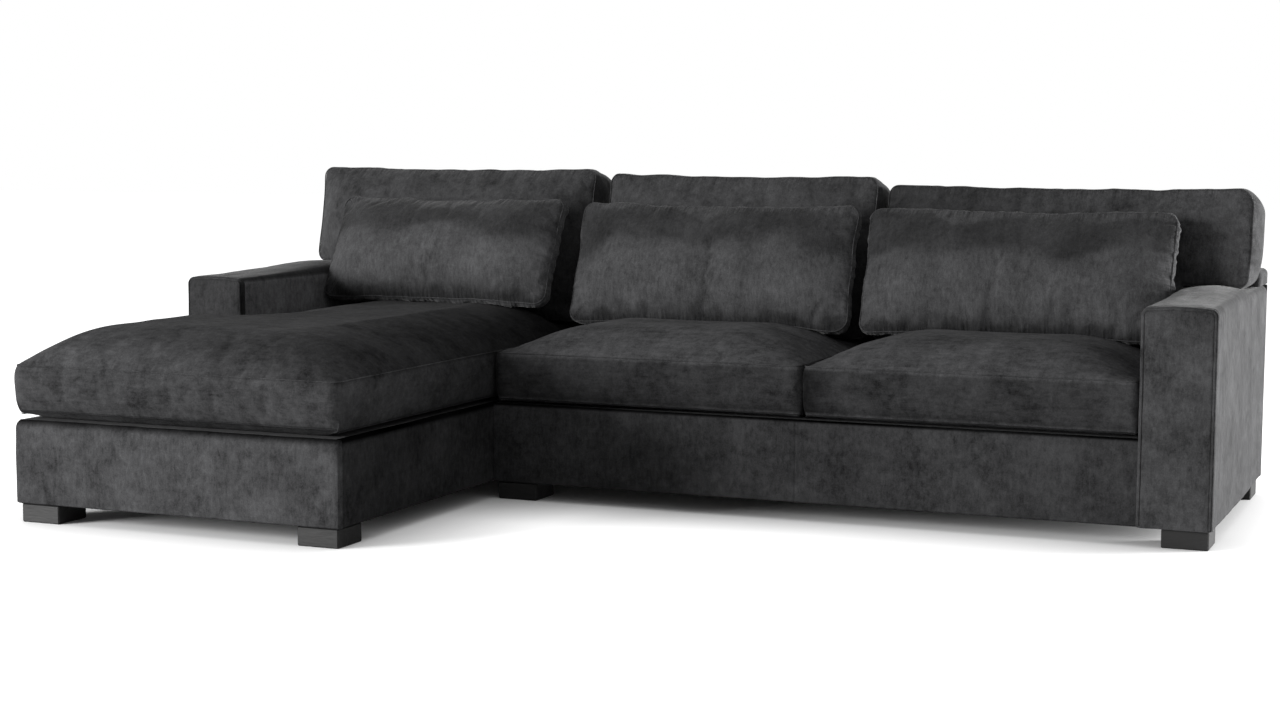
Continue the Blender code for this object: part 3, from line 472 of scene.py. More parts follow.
def makeBarSteel(pattern):
    # rolled steel: long draw marks and patches of dull oxide
    material, tree, shader = newMaterial("barSteel")
    here = addNode(tree, "ShaderNodeTexCoord").outputs["Object"]
    marks = noise(tree, stretched(tree, here, pattern["marksStretch"]), *pattern["marks"])
    patches = noise(tree, here, *pattern["patches"])
    share = summed(tree, pattern["brightShare"], (patches, pattern["patchLight"]), clamp=True)
    inputs = {"Factor": share, 6: pattern["dull"], 7: pattern["bright"]}
    tone = addNode(tree, "ShaderNodeMix", inputs, data_type="RGBA").outputs[2]
    height = mathNode(tree, "MULTIPLY", marks, pattern["relief"])
    relief = addNode(tree, "ShaderNodeBump", {"Distance": 1.0, "Height": height})
    roughness = summed(tree, pattern["roughness"], (patches, pattern["roughnessChange"]))
    tree.links.new(tone, shader.inputs["Base Color"])
    tree.links.new(roughness, shader.inputs["Roughness"])
    tree.links.new(relief.outputs["Normal"], shader.inputs["Normal"])
    shader.inputs["Metallic"].default_value = pattern["metal"]
    return material


materials = {name: makeFinish(name, *parts) for name, parts in finishes.items()}
materials["barSteel"] = makeBarSteel(steelPattern)


def finishFor(node, slot):
    # the finish of a CAD node that stays: frame wood takes the grain direction of its longest side
    if slot in plainFinish:
        return materials[plainFinish[slot]]
    low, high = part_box(node)
    sides = [high[axis] - low[axis] for axis in range(3)]
    return materials["frameWoodAlong" + "XYZ"[sides.index(max(sides))]]


for entry in frame["record"]["subparts"]:
    if entry["material_slot"] != "velvet":
        mesh = nodes[entry["node"]].data
        mesh.materials.clear()
        mesh.materials.append(finishFor(entry["node"], entry["material_slot"]))
print("materials ready")

# Shared tools for the new pieces: grids, rounded blocks, bands, seams and soft waves

def softWaves(points, size, seed, stretch=(1, 1, 1)):
    # the sum of plane sine waves of random direction and phase, 0.7 to 1.6 times size long, divided by
    # the square root of their number, so that it is about -1 to 1
    chance = np.random.default_rng(seed)
    waves = 14
    directions = chance.normal(size=(waves, 3))
    directions /= np.linalg.norm(directions, axis=1)[:, None]
    turns = directions * 2 * math.pi / (size * chance.uniform(0.7, 1.6, waves))[:, None]
    angles = (points / np.array(stretch)) @ turns.T + chance.uniform(0, 2 * math.pi, waves)
    return np.sin(angles).sum(axis=1) / waves ** 0.5


def easeIn(share):
    # 3s^2 - 2s^3 between 0 and 1, flat outside
    share = np.clip(share, 0, 1)
    return share * share * (3 - 2 * share)


def gridLines(stops, cell):
    # grid lines through every stop, with even steps of about one cell between two stops
    parts = [np.array([stops[0]], float)]
    for start, end in zip(stops[:-1], stops[1:]):
        steps = max(1, int(round((end - start) / cell)))
        parts.append(np.linspace(start, end, steps + 1)[1:])
    return np.concatenate(parts)


def mergedLines(lines, extra):
    # two sets of grid lines as one, without lines closer than a tenth of a millimetre
    every = np.sort(np.concatenate([lines, extra]))
    return every[np.concatenate([[True], np.diff(every) > 1e-4])]


def edgedLines(length, low, high, cell):
    # grid lines of one side of a block: four steps inside each rounded edge, even steps between
    edgeSteps = np.array([0.0, 0.2, 0.45, 0.72, 1.0])
    parts = [np.array([0.0])]
    if low > 0:
        parts.append(low * edgeSteps[1:])
    steps = max(1, int(round((length - low - high) / cell)))
    parts.append(np.linspace(low, length - high, steps + 1)[1:])
    if high > 0:
        parts.append(length - high * edgeSteps[-2::-1])
    return np.concatenate(parts)


def gridFaces(grid):
    # the four corners of every cell of a grid of point numbers, in rows
    return np.stack([grid[:-1, :-1], grid[1:, :-1], grid[1:, 1:], grid[:-1, 1:]], axis=-1).reshape(-1, 4)


def latticeShell(us, vs, ws):
    # every point of a box lattice that lies on the box's outside, once each, and its outward faces
    shape = (len(us), len(vs), len(ws))
    outside = np.zeros(shape, bool)
    for axis in range(3):
        side = np.moveaxis(outside, axis, 0)
        side[0] = True
        side[-1] = True
    number = np.full(shape, -1)
    number[outside] = np.arange(outside.sum())
    u, v, w = np.meshgrid(us, vs, ws, indexing="ij")
    points = np.stack([u[outside], v[outside], w[outside]], axis=1)
    faces = [
        gridFaces(number[-1]),
        gridFaces(number[0])[:, ::-1],
        gridFaces(number[:, 0]),
        gridFaces(number[:, -1])[:, ::-1],
        gridFaces(number[:, :, -1]),
        gridFaces(number[:, :, 0])[:, ::-1],
    ]
    return points, np.concatenate(faces)


def roundCorners(points, low, high, lowRadii, highRadii):
    # in the zone of each edge the offset from the inner box, as a share of the radius, is scaled from
    # a square to a disc: offset * (largest share / length of the shares)
    low, high = np.array(low, float), np.array(high, float)
    lowRadii, highRadii = np.array(lowRadii, float), np.array(highRadii, float)
    inner = np.clip(points, low + lowRadii, high - highRadii)
    offset = points - inner
    radius = np.where(offset < 0, lowRadii, highRadii)
    share = np.divide(offset, radius, out=np.zeros_like(offset), where=radius > 0)
    largest = np.abs(share).max(axis=1)
    length = np.linalg.norm(share, axis=1)
    scale = np.divide(largest, length, out=np.ones_like(length), where=length > 0)
    return inner + share * scale[:, None] * radius


def roundedBlock(low, high, lowRadii, highRadii, cell, extra=None):
    # a closed block from low to high whose edges are rounded by each side's radius; 0 keeps an edge
    # sharp, and extra gives more grid lines for an axis
    axes = [
        low[axis] + edgedLines(high[axis] - low[axis], lowRadii[axis], highRadii[axis], cell)
        for axis in range(3)
    ]
    for axis, more in (extra or {}).items():
        axes[axis] = mergedLines(axes[axis], more)
    points, faces = latticeShell(*axes)
    return roundCorners(points, low, high, lowRadii, highRadii), faces


def pointNormals(points, faces):
    # each point's normal: the sum of the cross products of its faces' diagonals, made one long
    across = np.cross(points[faces[:, 2]] - points[faces[:, 0]], points[faces[:, 3]] - points[faces[:, 1]])
    total = np.zeros_like(points)
    for corner in range(4):
        np.add.at(total, faces[:, corner], across)
    return total / np.maximum(np.linalg.norm(total, axis=1), 1e-12)[:, None]


def seamTube(path, facing, radius, closed=True):
    # a thin six-sided cord along a path: path point + radius * (cos a * facing + sin a * sideways),
    # with sideways the tangent crossed with the facing direction; an open cord has closed ends
    tangent = np.roll(path, -1, axis=0) - np.roll(path, 1, axis=0)
    if not closed:
        tangent[0] = path[1] - path[0]
        tangent[-1] = path[-1] - path[-2]
    tangent /= np.maximum(np.linalg.norm(tangent, axis=1), 1e-9)[:, None]
    facing = facing - tangent * (facing * tangent).sum(axis=1)[:, None]
    facing /= np.maximum(np.linalg.norm(facing, axis=1), 1e-9)[:, None]
    sideways = np.cross(tangent, facing)
    angles = np.arange(6) * math.pi / 3
    ring = np.cos(angles)[None, :, None] * facing[:, None] + np.sin(angles)[None, :, None] * sideways[:, None]
    points = (path[:, None] + radius * ring).reshape(-1, 3)
    number = np.arange(len(path) * 6).reshape(len(path), 6)
    number = np.concatenate([number, number[:, :1]], axis=1)
    if closed:
        return points, gridFaces(np.concatenate([number, number[:1]]))
    first, last = number[0], number[-1]
    caps = [
        [first[0], first[1], first[2], first[3]],
        [first[0], first[3], first[4], first[5]],
        [last[3], last[2], last[1], last[0]],
        [last[5], last[4], last[3], last[0]],
    ]
    return points, np.concatenate([gridFaces(number), np.array(caps)])


def joined(parts):
    # several meshes as one: their points one after another, with the faces' numbers moved on
    starts = np.cumsum([0] + [len(points) for points, faces in parts[:-1]])
    return (
        np.concatenate([points for points, faces in parts]),
        np.concatenate([faces + start for (points, faces), start in zip(parts, starts)]),
    )


def makeMesh(name, points, faces):
    # a smooth-shaded mesh from arrays of points and four-sided faces
    mesh = bpy.data.meshes.new(name)
    mesh.from_pydata(points.tolist(), [], faces.tolist())
    mesh.validate()
    mesh.shade_smooth()
    return mesh


def addPiece(name, points, faces, material, body, stands, marks=None, smooth=0):
    # puts a finished mesh in the scene, with its marks as attributes, on its body and in the place of its
    # CAD nodes; a piece without subdivision keeps edges of more than 50 degrees sharp
    mesh = makeMesh(name, points, faces)
    if not smooth:
        mesh.set_sharp_from_angle(angle=math.radians(50))
    for label, values in (marks or {}).items():
        flat = values.ndim == 1
        layer = mesh.attributes.new(label, "FLOAT" if flat else "FLOAT_VECTOR", "POINT")
        layer.data.foreach_set("value" if flat else "vector", values.astype(np.float32).ravel())
    mesh.materials.append(material)
    piece = bpy.data.objects.new(name, mesh)
    bpy.context.scene.collection.objects.link(piece)
    if smooth:
        finer = piece.modifiers.new("finer", "SUBSURF")
        finer.levels = smooth
        finer.render_levels = smooth
    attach(piece, body)
    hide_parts(*stands)
    return piece


def swell(name, points, faces, held, settings):
    # cloth: the cover is cut a little larger than its form, held along its seams and blown up from
    # inside without gravity; a point then moves at most the cap from where it began
    mesh = makeMesh(name, points, faces)
    cover = bpy.data.objects.new(name, mesh)
    bpy.context.scene.collection.objects.link(cover)
    group = cover.vertex_groups.new(name="held")
    group.add(np.flatnonzero(held).tolist(), 1.0, "REPLACE")
    cloth = cover.modifiers.new("cloth", "CLOTH")
    cloth.settings.quality = settings["quality"]
    cloth.settings.mass = settings["mass"]
    cloth.settings.tension_stiffness = settings["stiffness"]
    cloth.settings.compression_stiffness = settings["stiffness"]
    cloth.settings.shear_stiffness = settings["shear"]
    cloth.settings.bending_stiffness = settings["bending"]
    cloth.settings.use_pressure = True
    cloth.settings.uniform_pressure_force = settings["pressure"]
    cloth.settings.shrink_min = -settings["oversize"]
    cloth.settings.effector_weights.gravity = 0
    cloth.settings.vertex_group_mass = "held"
    cloth.collision_settings.use_collision = False
    cloth.collision_settings.use_self_collision = False
    for number in range(1, settings["frames"] + 1):
        bpy.context.scene.frame_set(number)
    graph = bpy.context.evaluated_depsgraph_get()
    blown = cover.evaluated_get(graph).to_mesh()
    found = np.empty(len(points) * 3, np.float32)
    blown.vertices.foreach_get("co", found)
    bpy.data.objects.remove(cover)
    bpy.context.scene.frame_set(1)
    moved = found.reshape(-1, 3) - points
    length = np.linalg.norm(moved, axis=1)
    print(name, "swelled by", round(float(length.max()) * 1000, 1), "mm at most")
    return points + moved * np.minimum(1, settings["cap"] / np.maximum(length, 1e-9))[:, None]


def smoothed(values, used, reach):
    # the average of a panel's values over a square window of grid points, taken twice, inside its outline
    def windowed(grid):
        for axis in (0, 1):
            moved = np.moveaxis(grid, axis, 0)
            total = np.cumsum(np.concatenate([np.zeros_like(moved[:1]), moved]), axis=0)
            steps = np.arange(len(moved))
            high = np.minimum(steps + reach + 1, len(moved))
            low = np.maximum(steps - reach, 0)
            grid = np.moveaxis(total[high] - total[low], 0, axis)
        return grid

    grid = np.zeros((*used.shape, values.shape[1]))
    grid[used] = values
    weight = windowed(used[..., None].astype(float))
    for turn in range(2):
        grid = windowed(grid * used[..., None]) / np.maximum(weight, 1)
    return grid[used]


# Cushions: a crowned panel on each side of a boxing strip, worked out flat and then stood in place

seamShape = {
    "wanderSize": 0.11,     # the seam wanders sideways in waves of this size,
    "wanderFade": 0.03,     # which fade over this length,
    "wanderShare": 0.6,     # by this share of the form's wander
    "foldGap": 0.004,       # a fold starts this far in from the seam
    "foldShift": 0.37,      # moves each cushion to another part of the waves
    "tuckReach": 0.07,      # how far in the lower seam's tuck reaches,
    "tuckShare": 0.7,       # and how much it moves in for each unit up
    "bellyPower": 3.2,      # how square the boxing's bulge is
    "rucheShare": 0.5,      # how much of the folds the boxing takes over
    "weltSlope": 0.7,       # a welt looks out of and up or down from its seam,
    "weltProud": 0.0002,    # and stands out by this share of that
}


def sideDistances(places, corners):
    # the distance from each place to each side of the outline, and how far along that side it lies
    corners = np.array(corners, float)
    line = np.roll(corners, -1, axis=0) - corners
    length = np.linalg.norm(line, axis=1)
    share = ((places[:, None] - corners) * line).sum(axis=2) / length ** 2
    nearest = corners + np.clip(share, 0, 1)[..., None] * line
    return np.linalg.norm(places[:, None] - nearest, axis=2), share, length


def fullness(places, corners, reach):
    # the product over the sides of 1 - (1 - distance / reach)^2: 0 on the seam, 1 far inside; the
    # reach may differ from side to side
    distance = sideDistances(places, corners)[0]
    return np.prod(1 - (1 - np.minimum(1, distance / reach)) ** 2, axis=1)


def roundOutline(places, corners, radii):
    # in the square zone of each outward corner, a point (a, b) from the zone's inner point goes to
    # (a sqrt(1 - b^2 / 2), b sqrt(1 - a^2 / 2)), a square turned into a disc
    places = places.copy()
    corners = np.array(corners, float)
    before, after = np.roll(corners, 1, axis=0), np.roll(corners, -1, axis=0)
    radii = np.broadcast_to(radii, len(corners))
    for corner, previous, following, radius in zip(corners, before, after, radii):
        first, second = corner - previous, following - corner
        if first[0] * second[1] - first[1] * second[0] < 0:
            continue
        outward = first / np.linalg.norm(first) - second / np.linalg.norm(second)
        local = (places - (corner - outward * radius)) * outward / radius
        zone = (local > 0).all(axis=1) & (local <= 1 + 1e-6).all(axis=1)
        a, b = local[zone].T
        bent = np.stack([a * np.sqrt(1 - b * b / 2), b * np.sqrt(1 - a * a / 2)], axis=1)
        places[zone] = corner - outward * radius + bent * radius * outward
    return places


def outline(width, height, notch=None):
    # the corners in order, from the left end of the bottom side; a notch (left, right, low, high) takes
    # one corner away and leaves three
    corners = [(0, 0), (width, 0), (width, height), (0, height)]
    if not notch:
        return corners
    left, right, low, high = notch
    taken = (0 if left == 0 else width, 0 if low == 0 else height)
    inner = (right if left == 0 else left, high if low == 0 else low)
    number = corners.index(taken)
    steps = [(taken[0], inner[1]), inner, (inner[0], taken[1])]
    if number % 2:
        steps.reverse()
    corners[number:number + 1] = steps
    return corners if number else corners[2:] + corners[:2]


def panelGrid(form):
    # a panel's flat grid, with lines through every corner of its outline and its notch left out: the
    # points, which of the grid they are, the faces, and the points of the seam in order
    corners = form["corners"]
    xs = gridLines(sorted({0.0, form["width"], *(corner[0] for corner in corners)}), form["cell"])
    ys = gridLines(sorted({0.0, form["height"], *(corner[1] for corner in corners)}), form["cell"])
    middleX, middleY = np.meshgrid((xs[1:] + xs[:-1]) / 2, (ys[1:] + ys[:-1]) / 2, indexing="ij")
    cells = np.ones(middleX.shape, bool)
    if "notch" in form:
        x0, x1, y0, y1 = form["notch"]
        cells &= ~((middleX > x0) & (middleX < x1) & (middleY > y0) & (middleY < y1))
    used = np.zeros((len(xs), len(ys)), bool)
    for dx, dy in ((0, 0), (1, 0), (1, 1), (0, 1)):
        used[dx:len(xs) - 1 + dx, dy:len(ys) - 1 + dy] |= cells
    number = np.full(used.shape, -1)
    number[used] = np.arange(used.sum())
    ring = []
    for first, second in zip(corners, corners[1:] + corners[:1]):
        i0, j0 = np.abs(xs - first[0]).argmin(), np.abs(ys - first[1]).argmin()
        i1, j1 = np.abs(xs - second[0]).argmin(), np.abs(ys - second[1]).argmin()
        walk = np.arange(max(abs(i1 - i0), abs(j1 - j0)))
        ring.append(number[i0 + np.sign(i1 - i0) * walk, j0 + np.sign(j1 - j0) * walk])
    x, y = np.meshgrid(xs, ys, indexing="ij")
    flat = np.stack([x[used], y[used]], axis=1)
    return flat, used, gridFaces(number)[cells.ravel()], np.concatenate(ring)


def seamPlaces(flat, form):
    # for each point how far round the seam the nearest place on it is, how far in the point lies and
    # how much the nap gathers; then the number of the nearest side
    distance, share, length = sideDistances(flat, form["corners"])
    nearest = distance.argmin(axis=1)
    rows = np.arange(len(flat))
    starts = np.cumsum([0, *length[:-1]])
    around = starts[nearest] + np.clip(share[rows, nearest], 0, 1) * length[nearest]
    return np.stack([around, distance[rows, nearest], np.full(len(flat), form["gathers"])], axis=1), nearest


def sewnPlaces(flat, inward, form):
    # rounded corners, each side drawn in by draw * c^3 * (1 - d^2) for the place (c, d) between -1 and
    # 1, a left side that leans in towards the top, and a seam that wanders
    size = np.array([form["width"], form["height"]])
    places = roundOutline(flat, form["corners"], form["corner"])
    centred = places / size * 2 - 1
    places = places - centred ** 3 * (1 - centred[:, ::-1] ** 2) * np.array(form["draw"])
    across, upward = np.clip(flat / size, 0, 1).T
    places[:, 0] += form.get("drawnTop", 0.0) * (1 - across) ** 3 * easeIn(upward)
    around = np.column_stack([places, np.zeros(len(places))])
    waves = [softWaves(around, seamShape["wanderSize"], form["seed"] + turn) for turn in (0, 1)]
    wander = np.stack(waves, axis=1)
    fade = np.exp(-inward / seamShape["wanderFade"])[:, None]
    return places + wander * form["wander"] * fade * seamShape["wanderShare"]


def crownHeights(flat, full, form):
    # crown * fullness, less where another cushion presses on the rear of a seat
    crown = form["crown"] * full
    if "pressed" in form:
        pressed = form["pressed"]
        start = form["height"] - pressed["length"] - pressed["blend"]
        crown *= 1 - (1 - pressed["share"]) * easeIn((flat[:, 1] - start) / pressed["blend"])
    return crown


def sideNormals(corners):
    # each side's outward direction: the side turned a quarter turn to the right
    corners = np.array(corners, float)
    line = np.roll(corners, -1, axis=0) - corners
    return np.column_stack([line[:, 1], -line[:, 0]]) / np.linalg.norm(line, axis=1)[:, None]


def awayFrom(path):
    # the level direction out of a closed path: its tangent crossed with up
    outward = np.cross(np.roll(path, -1, axis=0) - np.roll(path, 1, axis=0), (0, 0, 1))
    return outward / np.linalg.norm(outward, axis=1)[:, None]


def cushionForm(form):
    # the finished form: panels at boxing + crown * fullness and at -rear crown * fullness, with folds
    # that run in from the seam, and between them boxing rows, swollen by bulge * (1 - |2 down - 1|^power)
    flat, used, panel, ring = panelGrid(form)
    seamPlace, nearest = seamPlaces(flat, form)
    count, size, inward = len(flat), len(ring), seamPlace[:, 1]
    places = sewnPlaces(flat, inward, form)
    full = fullness(flat, form["corners"], form["reach"]) ** form["plump"]
    sides = len(form["corners"])
    high, apart, long = np.broadcast_to(form["folds"], (sides, 3))[nearest].T
    phase = np.full((count, 2), form["seed"] * seamShape["foldShift"])
    wave = high * softWaves(np.column_stack([seamPlace[:, 0] / apart, phase]), 1.0, form["seed"] + 3)
    fold = wave * np.exp(-inward / long) * (1 - np.exp(-inward / seamShape["foldGap"]))
    # the lower seam is drawn up and in, so that the cover curves under along its bottom edge
    tucks = np.broadcast_to(form["tucks"], sides)[nearest] * (1 - easeIn(inward / seamShape["tuckReach"]))
    under = places - sideNormals(form["corners"])[nearest] * (seamShape["tuckShare"] * tucks)[:, None]
    top = np.column_stack([places, form["boxing"] + crownHeights(flat, full, form) + fold])
    bottom = np.column_stack([under, tucks - form["rearCrown"] * full - fold * (form["rearCrown"] > 0)])
    # the sides' bulges run into each other: twice the average of seven neighbours
    bulge = np.array(form["bulges"])[nearest[ring]]
    for turn in range(2):
        bulge = sum(np.roll(bulge, step) for step in range(-3, 4)) / 7
    bulge = bulge + seamShape["rucheShare"] * wave[ring]
    runs = form["boxingRows"]
    down = np.arange(1, runs) / runs
    belly = 1 - np.abs(2 * down - 1) ** seamShape["bellyPower"]
    strip = (
        top[ring] * (1 - down)[:, None, None]
        + bottom[ring] * down[:, None, None]
        + awayFrom(top[ring]) * (belly[:, None] * bulge)[..., None]
    )
    between = 2 * count + np.arange((runs - 1) * size).reshape(runs - 1, size)
    rows = np.concatenate([ring[None], between, ring[None] + count])
    rows = np.concatenate([rows, rows[:, :1]], axis=1)
    boxing = np.roll(gridFaces(rows), -1, axis=1)
    stripPlace = np.empty((runs - 1, size, 3))
    stripPlace[..., 0] = seamPlace[ring, 0]
    stripPlace[..., 1] = (np.minimum(down, 1 - down) * form["boxing"])[:, None]
    stripPlace[..., 2] = form["boxingGathers"]
    return {
        "points": np.concatenate([top, bottom, strip.reshape(-1, 3)]),
        "faces": np.concatenate([panel, panel[:, ::-1] + count, boxing]),
        "seamPlace": np.concatenate([seamPlace, seamPlace, stripPlace.reshape(-1, 3)]),
        "flat": flat,
        "used": used,
        "inward": inward,
        "ring": ring,
    }


def standUp(points, turn, place):
    # a point (x, y, z) of the flat form turns about the x axis and moves to its place in the room
    cosine, sine = math.cos(turn), math.sin(turn)
    x, y, z = points.T
    return np.column_stack([x, y * cosine - z * sine, y * sine + z * cosine]) + np.array(place)


def layDown(points, turn, place):
    # the way back from standUp: into the cushion's own flat frame
    return standUp(points - np.array(place), -turn, (0, 0, 0))


# Upholstered frame: blocks and bands with rounded edges, gentle waves and sewn seams

boxFaces = {"left": (0, 0), "right": (1, 0), "front": (0, 1), "rear": (1, 1), "low": (0, 2), "top": (1, 2)}


def cadSide(node, face):
    # where one face of a CAD node's box lies, to a thousandth of a millimetre
    corner, axis = boxFaces[face]
    return round(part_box(node)[corner][axis], 6)


# where the covers begin and end, from the CAD's boxes. Given are the low edge of an arm's inner side,
# how far the cover's arm top lies below the CAD's, the back's rake and where the seat cushions end
gap = 0.0003
sofa = {
    "left": cadSide("left_arm_wrap", "left"),
    "right": cadSide("right_arm_wrap", "right"),
    "split": cadSide("chaise_right_border", "right"),
    "chaiseFront": cadSide("chaise_front_border", "front"),
    "leftBorderRear": cadSide("chaise_left_border", "rear"),
    "rightBorderFront": cadSide("chaise_right_border", "front"),
    "seatFront": cadSide("loveseat_front_border", "front"),
    "leftArmFront": cadSide("left_arm_front_panel", "front"),
    "rightArmFront": cadSide("right_arm_front_panel", "front"),
    "leftWrapFront": cadSide("left_arm_wrap", "front"),
    "rightWrapFront": cadSide("right_arm_wrap", "front"),
    "armWidth": cadSide("left_arm_wrap", "right") - cadSide("left_arm_wrap", "left"),
    "armInnerLow": 0.2375,
    "baseLow": cadSide("chaise_front_border", "low"),
    "baseTop": cadSide("chaise_front_border", "top"),
    "floor": cadSide("chaise_back_pad", "low"),
    "padTop": cadSide("chaise_back_pad", "top"),
    "armTop": cadSide("left_arm_wrap", "top") - 0.006,
    "rollLow": cadSide("chaise_back_top_roll", "low"),
    "rollTop": cadSide("chaise_back_top_roll", "top"),
    "rollFront": cadSide("chaise_back_top_roll", "front"),
    "panelFront": cadSide("chaise_back_panel", "front"),
    "rear": cadSide("left_arm_wrap", "rear"),
    "back": cadSide("chaise_back_panel", "rear"),
    "rake": math.radians(13),
    "seatRear": 0.6768,
}

frameCover = {
    "cell": 0.016,
    "waves": 0.0011,
    "waveSize": 0.28,
    "ripples": 0.0005,
    "rippleSize": 0.07,
    "still": 0.02,
    "welt": 0.0022,
}


def cornerPath(corners, radii, cell):
    # an open path of straights with an arc of seven steps in each inner corner: its points and its
    # normals, which are the direction of travel turned a quarter turn to the left; every corner turns
    # to the right
    corners = [np.array(corner, float) for corner in corners]
    places, normals = [], []
    start = corners[0]
    for number in range(1, len(corners)):
        here = corners[number]
        along = (here - corners[number - 1]) / np.linalg.norm(here - corners[number - 1])
        left = np.array([-along[1], along[0]])
        last = number == len(corners) - 1
        radius = 0 if last else radii[number - 1]
        end = here - along * radius
        steps = max(1, int(round(np.linalg.norm(end - start) / cell)))
        share = np.linspace(0, 1, steps + 1)[:, None]
        places.append(start + (end - start) * share)
        normals.append(np.repeat(left[None], steps + 1, axis=0))
        if last:
            break
        turn = np.linspace(0, math.pi / 2, 8)[1:-1, None]
        rim = left * np.cos(turn) + along * np.sin(turn)
        places.append(end - left * radius + rim * radius)
        normals.append(rim)
        start = end - left * radius + along * radius
    return np.concatenate(places), np.concatenate(normals)


def pathLength(places):
    # how far along the path each of its points is
    return np.concatenate([[0], np.cumsum(np.linalg.norm(np.diff(places, axis=0), axis=1))])


def bend(flat, places, normals, thickness):
    # a point (s, t) of a straight band goes to path(s) + normal(s) * (t - thickness)
    length = pathLength(places)
    onPath = np.column_stack([np.interp(flat[:, 0], length, places[:, axis]) for axis in (0, 1)])
    outward = np.column_stack([np.interp(flat[:, 0], length, normals[:, axis]) for axis in (0, 1)])
    outward /= np.linalg.norm(outward, axis=1)[:, None]
    return onPath + outward * (flat[:, 1] - thickness)[:, None]


def waved(points, faces, settings, seed, still, level=1.0):
    # every point moves along its normal by waves of two sizes; they die out near an end where the
    # cover meets its neighbour (still is the distance to it), and level fades them on faces that look
    # up or down
    normals = pointNormals(points, faces)
    amount = settings["waves"] * softWaves(points, settings["waveSize"], seed)
    amount += settings["ripples"] * softWaves(points, settings["rippleSize"], seed + 5)
    fade = (1 - (1 - level) * np.abs(normals[:, 2])) * easeIn(still / settings["still"])
    return points + normals * (amount * fade)[:, None]


def cordOn(corners, radius, cell, y, facing, cord, lift=None):
    # an open sewn cord on an upright face at y, round three sides of it; lift raises its points
    seam = cornerPath(corners, [radius] * 2, cell)[0]
    path = np.column_stack([seam[:, 0], np.full(len(seam), y), seam[:, 1]])
    if lift:
        path[:, 2] += lift(path)
    return seamTube(path, np.tile((0.0, facing, 0.0), (len(path), 1)), cord, closed=False)


def hump(points, low, high, power):
    # 0 at the two sides and 1 midway: sin(pi * share)^power
    share = np.clip((points[:, 0] - low) / (high - low), 0, 1)
    return np.sin(math.pi * share) ** power


base = {
    # sizes, and how far the front board's cover reaches round the left corner
    "thick": 0.020,
    "cornerRadius": 0.009,
    "cornerLap": 0.025,
    # how round each board's edges are: at its low and at its high end of every axis
    "front": ((0.003, 0, 0.006), (0, 0.018, 0.024)),
    "leftSide": ((0.012, 0, 0.006), (0, 0, 0.012)),
    "rightSide": ((0, 0, 0.006), (0.016, 0, 0.018)),
    "seat": ((0, 0.012, 0.006), (0, 0, 0.012)),
    "seatSeam": 0.398,
    "grooveLines": (-0.008, -0.004, -0.0015, 0, 0.0015, 0.004, 0.008),
    "grooveWidth": 0.0028,
    "grooveDepth": 0.0022,
}


def baseFront():
    # the chaise's front: a padded board that turns the rounded left corner
    front, high = sofa["chaiseFront"], sofa["baseTop"] - sofa["baseLow"]
    corners = [(sofa["split"], front), (sofa["left"], front), (sofa["left"], front + base["cornerLap"])]
    path, normals = cornerPath(corners, [base["cornerRadius"]], frameCover["cell"])
    length = pathLength(path)
    size = (length[-1], base["thick"], high)
    block, faces = roundedBlock((0, 0, 0), size, *base["front"], frameCover["cell"], {0: length})
    plan = bend(block, path, normals, base["thick"])
    points = np.column_stack([plan, block[:, 2] + sofa["baseLow"]])
    still = np.minimum(block[:, 0], length[-1] - block[:, 0])
    return waved(points, faces, frameCover, 11, still, 0.0), faces


def baseBlock(low, high, edges, seed, seams=()):
    # a padded board of the base, with a groove at each upright seam: depth * exp(-(d / width)^2)
    axis = 0 if high[0] - low[0] > high[1] - low[1] else 1
    extra = {axis: np.add.outer(seams, base["grooveLines"]).ravel()}
    points, faces = roundedBlock(low, high, *edges, frameCover["cell"], extra)
    still = np.minimum(points[:, axis] - low[axis], high[axis] - points[:, axis])
    points = waved(points, faces, frameCover, seed, still, 0.0)
    normals = pointNormals(points, faces)
    for seam in seams:
        groove = np.exp(-(((points[:, axis] - seam) / base["grooveWidth"]) ** 2)) * base["grooveDepth"]
        points = points - normals * (groove * (1 - np.abs(normals[:, 2])))[:, None]
    return points, faces


armBand = {
    "thick": 0.0195,
    "cornerRadius": 0.018,
    "edges": ((0.004, 0, 0), (0.004, 0.004, 0)),
    # the padding's height at the front, what it gains behind it and what the back cushion presses flat
    "crown": 0.007,
    "gain": 0.019,
    "gainLength": 0.55,
    "pressed": 0.0205,
    "pressedFrom": 0.50,
    "pressedBlend": 0.10,
    "crownPower": 0.45,
    "crownDepth": 0.03,
    "crownBlend": 0.025,
    # wrinkles that run along the top, and short ones that hang on the sides behind the front panel
    "topDepth": 0.02,
    "wrinkle": 0.0012,
    "wrinkleSize": 0.05,
    "wrinkleStretch": (0.6, 5, 1),
    "wrinkleFade": 0.5,
    "hanging": 0.0016,
    "hangingSize": 0.028,
    "hangingStretch": (1, 1, 7),
    "hangingFade": 0.09,
}


def atTop(points, settings):
    # 1 on the arm's top and 0 from a little below it
    return easeIn((points[:, 2] - sofa["armTop"] + settings["crownDepth"]) / settings["crownBlend"])


